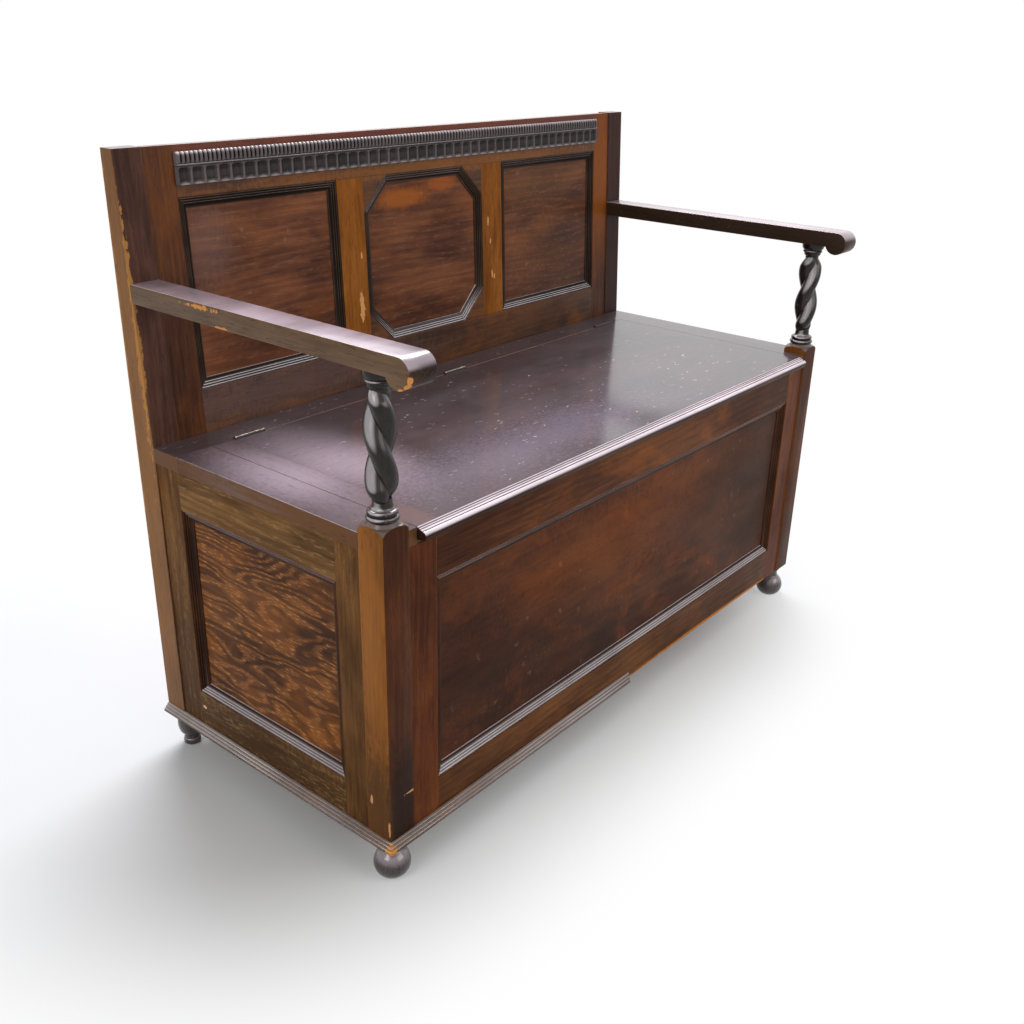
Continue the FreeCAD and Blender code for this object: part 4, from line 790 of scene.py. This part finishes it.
# --- Frieze ---
# A strip planted under the top edge: a row of small gadroons over a fillet and a row of wide flutes, blackened with
# age; its arrises are a little rubbed and carry a painted highlight, its hollows painted shade and its upward
# faces, the gadroons' domed tops among them, a painted sheen.
carved_oak = stained_oak(
    "charcoal carved oak", "z", (30, 25, 24), (56, 48, 47), (78, 68, 66), worn=(150, 136, 134),
    pale=(160, 148, 146), pith=(0, 0.1, 0.4), ring=0.006, bare=0.2, rubbed=0.05, edge=0.0012, dull=0.36,
    side_wax=0.1, top_wax=1.0, painted_sheen_amount=0.9, painted_sheen_colour=(196, 184, 188), shine=0.12, rings=0, streaks=0, painted_hollow_shade=1.0,
    painted_ridge_highlight=0.3)


def relief_row(name, low, high, pitch, count, rows, columns, front):
    """One carved unit of a row as a flat grid, at the row's left end."""
    choose()
    bpy.ops.mesh.primitive_grid_add(x_subdivisions=columns, y_subdivisions=rows, size=1, rotation=(pi / 2, 0, 0))
    unit = bpy.context.object
    unit.name = name
    unit.scale = (pitch, high - low, 1)
    unit.location = (-pitch * (count - 1) / 2, front, (low + high) / 2)
    bpy.ops.object.transform_apply(location=True, rotation=True, scale=True)
    return unit


def carve(unit, pitch, count, low, high, depth, belly):
    """Sinks or raises the unit by a half-round across and a rounded end on top."""
    left = -pitch * count / 2
    go_to("EDIT")
    heights = sorted({round(v.co.z, 5) for v in unit.data.vertices})
    stations = sorted({round(v.co.x, 5) for v in unit.data.vertices})
    for station in stations:
        for height in heights:
            swell = max(0.0, sin(pi * (station - left) / pitch)) ** 0.6
            share = (height - low) / (high - low)
            end = min(1.0, (1 - share) * belly, 0.4 + share * belly)
            if swell < 0.01 or end < 0.01:
                continue
            pick(unit, "VERT", lambda vertex: abs(vertex.co.x - station) < 1e-4
                 and abs(vertex.co.z - height) < 1e-4)
            bpy.ops.transform.translate(value=(0, depth * swell * end ** 0.5, 0))
    go_to("OBJECT")


def repeat_row(unit, pitch, count, back):
    """Repeats the unit along the strip and draws its rim back to a flat rear."""
    row = unit.modifiers.new("repeated", "ARRAY")
    row.count = count
    row.use_relative_offset, row.use_constant_offset = False, True
    row.constant_offset_displace = (pitch, 0, 0)
    row.use_merge_vertices = True
    row.merge_threshold = 0.0001
    bpy.ops.object.modifier_apply(modifier="repeated")
    go_to("EDIT")
    bpy.ops.mesh.select_mode(type="EDGE")
    bpy.ops.mesh.select_all(action="DESELECT")
    bpy.ops.mesh.select_non_manifold(extend=False)
    bpy.ops.mesh.extrude_region_move(TRANSFORM_OT_translate={"value": (0, 0.001, 0)})
    bpy.ops.transform.resize(value=(1, 0, 1), center_override=(0, back, 0))
    bpy.ops.mesh.edge_face_add()
    bpy.ops.mesh.select_all(action="SELECT")
    bpy.ops.mesh.normals_make_consistent(inside=False)
    go_to("OBJECT")
    bpy.ops.object.shade_smooth_by_angle(angle=radians(38))


def sawn_block(name, place, size):
    choose()
    bpy.ops.mesh.primitive_cube_add(size=1, location=place)
    block = bpy.context.object
    block.name, block.scale = name, size
    bpy.ops.object.transform_apply(location=True, scale=True)
    return block


def ease(piece, width, segments, sharper_than=None):
    """Rounds the arrises, or only those sharper than an angle."""
    rounding = piece.modifiers.new("eased arrises", "BEVEL")
    rounding.width, rounding.segments = width, segments
    if sharper_than:
        rounding.limit_method, rounding.angle_limit = "ANGLE", sharper_than
    bpy.ops.object.modifier_apply(modifier="eased arrises")


flute_pitch, flute_count = 0.9 / 44, 44
flutes = relief_row("frieze_flutes", 0.3262, 0.3488, flute_pitch, flute_count, 8, 8, -0.0080)
carve(flutes, flute_pitch, flute_count, 0.3262, 0.3488, 0.0050, 8.0)
repeat_row(flutes, flute_pitch, flute_count, -0.0002)
gadroons = relief_row("frieze_gadroons", 0.3522, 0.3666, flute_pitch / 3, 3 * flute_count, 8, 6, -0.0046)
carve(gadroons, flute_pitch / 3, 3 * flute_count, 0.3522, 0.3666, -0.0036, 3.5)
repeat_row(gadroons, flute_pitch / 3, 3 * flute_count, -0.0002)

fillet = sawn_block("frieze_fillet", (0, -0.00415, 0.3505), (0.9, 0.0079, 0.0022))
ease(fillet, 0.0008, 3)
bpy.ops.object.shade_smooth_by_angle(angle=radians(35))
for piece in (flutes, gadroons, fillet):
    set_in(piece, 0, 0.219, 0.485, rake=back_rake)
    fit(piece, carved_oak, "frieze")

# --- Seat surround ---
# Narrow strips round the opening, level with the lid: near-black waxed oak on
# top, brown where its edges show.
# Upward faces of the seat get a faint painted sheen.
seat_dark = dict(deep=(28, 18, 16), middle=(46, 31, 29), warm=(66, 46, 42), worn=(150, 124, 118),
                 pale=(200, 190, 200), ring=0.014, dull=0.42, top_wax=1.0, shine=0.12, sides=(104, 68, 34),
                 painted_sheen_amount=0.17, painted_sheen_colour=(168, 156, 170), rubbed=0.4, bare=0.2, edge=0.0012, gloss=0.13)
seat_level = stained_oak(
    "near black seat oak", "x", pith=(0.3, 0.61, 0.12), specks=0.7, scratches=0.8,
    tinted=(
        # The first four patches are painted: lilac patches of painted reflection, and a thin pale line of painted
        # highlight where the lid meets the rear strip.
        ((118, 108, 136), 0.5, mark(-0.16, -0.13, 0.485, long=0.20, deep=0.05, soft=0.9, ragged=1.6)),
        ((206, 188, 204), 0.8, mark(-0.40, 0.02, 0.485, long=0.06, deep=0.11, soft=0.9, ragged=0.25)),
        ((196, 178, 172), 0.8, mark(0.0, 0.1678, 0.485, long=0.52, deep=0.0011, soft=0.3, ragged=0.7)),
        ((130, 118, 128), 0.4, mark(-0.30, -0.15, 0.485, long=0.14, deep=0.05, soft=0.9, ragged=0.25)),
        ((30, 18, 15), 0.7, mark(-0.05, 0.09, 0.485, long=0.28, deep=0.06, soft=0.8, ragged=0.25))),
    **seat_dark)
seat_crosswise = stained_oak(
    "near black seat oak, crosswise", "y", pith=(0.3, 0.41, 0.22), specks=0.3, scratches=0.3,
    tinted=(
        # The first three patches are painted: lilac patches of painted reflection, and a thin pale line of painted
        # highlight along the left strip's outer edge.
        ((206, 188, 204), 0.85, mark(-0.475, 0.02, 0.485, long=0.055, soft=0.9, ragged=0.25)),
        ((214, 200, 204), 0.8, mark(-0.535, -0.02, 0.485, long=0.0012, deep=0.24, high=0.0014, soft=0.3,
            ragged=0.6)),
        ((140, 126, 136), 0.4, mark(-0.48, -0.12, 0.485, long=0.06, deep=0.06, soft=0.9, ragged=0.25)),
        ((120, 78, 66), 0.6, mark(-0.462, -0.18, 0.485, long=0.02, deep=0.05, soft=0.5))),
    **seat_dark)
finish_board(seat_crosswise, "seat_left_strip", "seat_right_strip", "lid_left_clamp", "lid_right_clamp")
finish_board(seat_level, "seat_rear_strip", "lid_board", "lid_nosing")

# --- Front posts ---
# Each post is one piece: a square leg whose corners the lathe has turned down
# into arches, two rings, the double barley twist and a collar under the arm.
# Faces turned to the left get the paler left colour as painted light from the left, and upward faces a painted
# sheen.
post_square = stained_oak(
    "front post oak", "z", (50, 24, 12), (76, 40, 20), (100, 57, 28), worn=(216, 160, 104), pith=(0.2, 0.07, 0.03),
    bare=0.2, rubbed=0.15, left=(156, 98, 40), painted_sheen_amount=0.6, painted_sheen_colour=(134, 126, 126), streaks=0.2,
    tinted=(
        ((34, 20, 14), 0.75, mark(-0.50, -0.2125, 0.085, long=0.08, deep=0.004, soft=0.6)),
        ((76, 50, 26), 0.7, mark(-0.535, -0.19, 0.10, long=0.004, deep=0.05, high=0.09, soft=0.7))),
    bared_at=(
        mark(-0.535, -0.1800, 0.121, long=0.01, deep=0.0025, high=0.006),
        mark(-0.535, -0.2100, 0.092, long=0.006, deep=0.002, high=0.010),
        mark(-0.500, -0.2125, 0.130, long=0.010, deep=0.003, high=0.0012)))


def combine(base, how, other):
    """Joins another body to this one, or keeps only what the two share."""
    choose(base)
    joined = base.modifiers.new("combined", "BOOLEAN")
    joined.operation, joined.object, joined.solver = how, other, "EXACT"
    bpy.ops.object.modifier_apply(modifier="combined")
    bpy.data.objects.remove(other)


for side, sign, lay in (("left", -1, 19), ("right", 1, -6)):
    x = post_x * sign
    square = sawn_block(f"{side}_front_post_square", (x, -post_y, 0.281), (0.041, 0.041, 0.442))
    ease(square, 0.0009, 2)

    work = start_turning(f"{side}_shoulder_blank", x, -post_y, 0.050, 0.0310)
    turn_to(work, 0.4800, 0.0310)
    turn_curve(work, 0.4968, 0.0200, steps=9)
    turn_to(work, 0.5019, 0.0160)
    combine(square, "INTERSECT", part_off(work))
    bpy.ops.object.shade_smooth_by_angle(angle=radians(30))
    fit(square, post_square, f"{side}_front_post")

    work = start_turning(f"{side}_front_post_rings", x, -post_y, 0.5010, 0.0168)
    turn_to(work, 0.5018, 0.0172)
    turn_bead(work, 0.5078, 0.0194)
    turn_to(work, 0.5086, 0.0156)
    turn_bead(work, 0.5146, 0.0178)
    turn_curve(work, 0.5200, 0.0118, hollow=True)
    turn_to(work, 0.5270, 0.0112)
    fit(part_off(work), black_turned, f"{side}_front_post")

    work = start_turning(f"{side}_front_post_collar", x, -post_y, 0.6480, 0.0108)
    turn_to(work, 0.6545, 0.0112)
    turn_curve(work, 0.6600, 0.0142, hollow=True)
    turn_bead(work, 0.6640, 0.0162, steps=6)
    turn_to(work, 0.6646, 0.0146)
    turn_curve(work, 0.6720, 0.0186, hollow=True)
    turn_to(work, 0.6756, 0.0192)
    fit(part_off(work), black_turned, f"{side}_front_post")

    low, high = 0.5235, 0.6525
    twist_length = high - low
    strand, offset = 0.0124, 0.0064
    choose()
    bpy.ops.mesh.primitive_cylinder_add(vertices=48, radius=strand, depth=twist_length, location=(offset, 0, 0))
    bpy.ops.object.transform_apply(location=True)
    twist = bpy.context.object
    bpy.ops.mesh.primitive_cylinder_add(vertices=48, radius=strand, depth=twist_length, location=(-offset, 0, 0))
    bpy.ops.object.transform_apply(location=True)
    second = bpy.context.object
    combine(twist, "UNION", second)
    twist.name = f"{side}_front_post_twist"
    go_to("EDIT")
    pick(twist, "EDGE", lambda edge: abs(twist.data.vertices[edge.vertices[0]].co.z
                                         - twist.data.vertices[edge.vertices[1]].co.z) > twist_length / 2)
    bpy.ops.mesh.subdivide(number_cuts=79)
    spacing = twist_length / 80
    for end in (-1, 1):
        for ring in range(11):
            height = end * (twist_length / 2 - ring * spacing)
            pick(twist, "VERT", lambda vertex: abs(vertex.co.z - height) < spacing / 3)
            closing = 0.62 + 0.38 * sin(pi / 2 * ring / 11) ** 0.9
            bpy.ops.transform.resize(value=(closing, closing, 1), center_override=(0, 0, height))
    go_to("OBJECT")
    twisting = twist.modifiers.new("barley twist", "SIMPLE_DEFORM")
    twisting.deform_method, twisting.deform_axis = "TWIST", "Z"
    twisting.angle = 2 * pi * sign * 1.10
    bpy.ops.object.modifier_apply(modifier="barley twist")
    twist.rotation_euler = (0, 0, radians(lay))
    twist.location = (x, -post_y, (low + high) / 2)
    bpy.ops.object.transform_apply(location=True, rotation=True)
    bpy.ops.object.shade_smooth_by_angle(angle=radians(50))
    fit(twist, black_turned, f"{side}_front_post")

# --- Arms ---
# Flat bars of oak that end in a round scroll, tenoned to the twist posts and
# butted to the raked posts behind; the stain is worn through along the edges.
# Faces turned to the left get the paler left colour as painted light from the left, upward faces a painted sheen,
# and the glint is a painted highlight along the top-left arris.
arm_oak = stained_oak(
    "arm oak", "y", (40, 28, 24), (64, 46, 38), (92, 68, 54), worn=(214, 146, 78), pale=(190, 176, 180),
    pith=(0.1, 0.2, 0.3), bare=0.3, rubbed=0.3, edge=0.0020, dull=0.34, top_wax=1.0, painted_sheen_amount=0.85,
    painted_sheen_colour=(208, 190, 204), left=(122, 98, 76), gloss=0.16,
    tinted=(
        # Dark cover on the right arm's inner face, laid after the painted left-side light and so covering it there.
        ((42, 32, 27), 0.85, mark(0.494, 0.0, 0.687, long=0.006, deep=0.4, high=0.05, soft=0.2, ragged=0.2)),),
    painted_glint=((-0.7, 0, 0.7), (244, 220, 206), 0.80),
    bared_at=(
        mark(-0.5330, -0.2568, 0.6770, long=0.004, deep=0.0025, high=0.006, ragged=0.5),
        mark(-0.5325, -0.2527, 0.6695, long=0.0055, deep=0.004, high=0.0045, ragged=0.5),
        mark(-0.5335, -0.2455, 0.6650, long=0.0035, deep=0.006, high=0.0025, ragged=0.5),
        mark(-0.5350, 0.0860, 0.6950, long=0.002, deep=0.026, high=0.0022, ragged=2.0),
        mark(-0.5350, 0.0500, 0.6765, long=0.002, deep=0.012, high=0.0016, ragged=2.0)))
for side, sign in (("left", -1), ("right", 1)):
    arm = sawn_block(f"{side}_arm_bar", (post_x * sign, 0.0, 0.68775), (0.041, 0.479, 0.0245))
    bpy.ops.mesh.primitive_cylinder_add(vertices=96, radius=0.018, depth=0.041,
                                        location=(post_x * sign, -0.2395, 0.682), rotation=(0, pi / 2, 0))
    bpy.ops.object.transform_apply(location=True, rotation=True)
    combine(arm, "UNION", bpy.context.object)
    go_to("EDIT")
    bpy.ops.mesh.select_all(action="SELECT")
    bpy.ops.mesh.bisect(plane_co=(0, 0.2275, 0.69), plane_no=(0, 1, -0.044), use_fill=True, clear_outer=True)
    bpy.ops.mesh.select_all(action="SELECT")
    bpy.ops.mesh.remove_doubles(threshold=0.00002)
    bpy.ops.mesh.dissolve_limited(angle_limit=radians(1))
    bpy.ops.mesh.normals_make_consistent(inside=False)
    go_to("OBJECT")
    ease(arm, 0.0016, 3, sharper_than=radians(35))
    bpy.ops.object.shade_smooth_by_angle(angle=radians(30))
    fit(arm, arm_oak, f"{side}_arm")

# --- Lid nosing ---
# A moulding along the lid's front edge: three fine reeds, then a full round nose, its edges a little rubbed; upward
# faces get a painted sheen, the top of the nose a painted highlight and the grooves painted shade.
nosing_oak = stained_oak(
    "nosing oak with painted sheen and highlight", "x", (40, 24, 17), (62, 40, 30), (84, 56, 44), worn=(196, 170, 160), pale=(206, 194, 200),
    pith=(0.2, 0.31, 0.42), dull=0.34, top_wax=1.0, rings=0, streaks=0, shine=0.08, painted_sheen_amount=1.0, painted_sheen_colour=(214, 200, 212),
    rubbed=0.05, bare=0.2, edge=0.0008, painted_hollow_shade=1.0, painted_glint=((0, -0.5, 0.86), (246, 232, 240), 0.86))
nosing = first_strip("lid_nosing_strip", -0.4785, 0.4785, 0.0085)
for step in range(1, 10):
    before, after = radians(-90 + 19 * (step - 1)), radians(-90 + 19 * step)
    draw_on(-0.0059 * (cos(after) - cos(before)), 0.0060 * (sin(after) - sin(before)))
for rise, width in ((0.0012, 0.0022), (0.0010, 0.0013), (0.0009, 0.0008)):
    draw_on(0.0003, -0.0014)
    draw_on(0.0009, 0.0)
    draw_on(0.0003, 0.0016)
    draw_on(width / 2, rise * 0.6)
    draw_on(width / 2, rise * 0.4)
go_to("OBJECT")
ends = [vertex.co.copy() for vertex in nosing.data.vertices if vertex.select]
go_to("EDIT")
draw_on(0.0002, 0.0158 - ends[0].z)
draw_on(-ends[0].y - 0.0002, 0.0)
draw_on(0.0, -0.0158)
close_strip(nosing)
set_in(nosing, 0, -0.2096, 0.4691)
nosing.data.materials.append(nosing_oak)
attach(nosing, "lid")
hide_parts("lid_nosing")

# --- Hinges ---
# Three steel butt hinges, let in flush; on the left and middle hinges the tops of the knuckles are bright rubbed
# steel laid where a highlight falls, partly a painted highlight.
steel, tree = blank_material("worn hinge steel")
coords = wire(tree, "TexCoord")
fine = wire(tree, "TexNoise", {"Vector": coords.outputs["Object"], "Scale": 700.0, "Detail": 3.0})
axes = wire(tree, "SeparateXYZ", {0: coords.outputs["Normal"]})
# Bright steel only on upward faces of knuckles below x 0.2: rubbed steel placed as a painted highlight.
on_top = ramp(tree, axes.outputs[2], 0.7, 0.95)
used = wire(tree, "SeparateXYZ", {0: coords.outputs["Object"]})
used = ramp(tree, used.outputs[0], 0.25, 0.2)
rubbed = times(tree, times(tree, on_top, used), ramp(tree, fine.outputs[0], 0.3, 0.5))
rust = wire(tree, "Mix", {0: rubbed, 6: tone(52, 42, 36), 7: tone(214, 206, 196)}, data_type="RGBA")
dulled = wire(tree, "MapRange", {0: rubbed, 3: 0.6, 4: 0.3})
bright = wire(tree, "BsdfPrincipled", {"Base Color": rust.outputs[2], "Metallic": rubbed,
                                       "Roughness": dulled.outputs[0]})
wire(tree, "OutputMaterial", {"Surface": bright.outputs[0]})
finish_board(steel, "hinge_fixed_leaves", "hinge_lid_leaves")
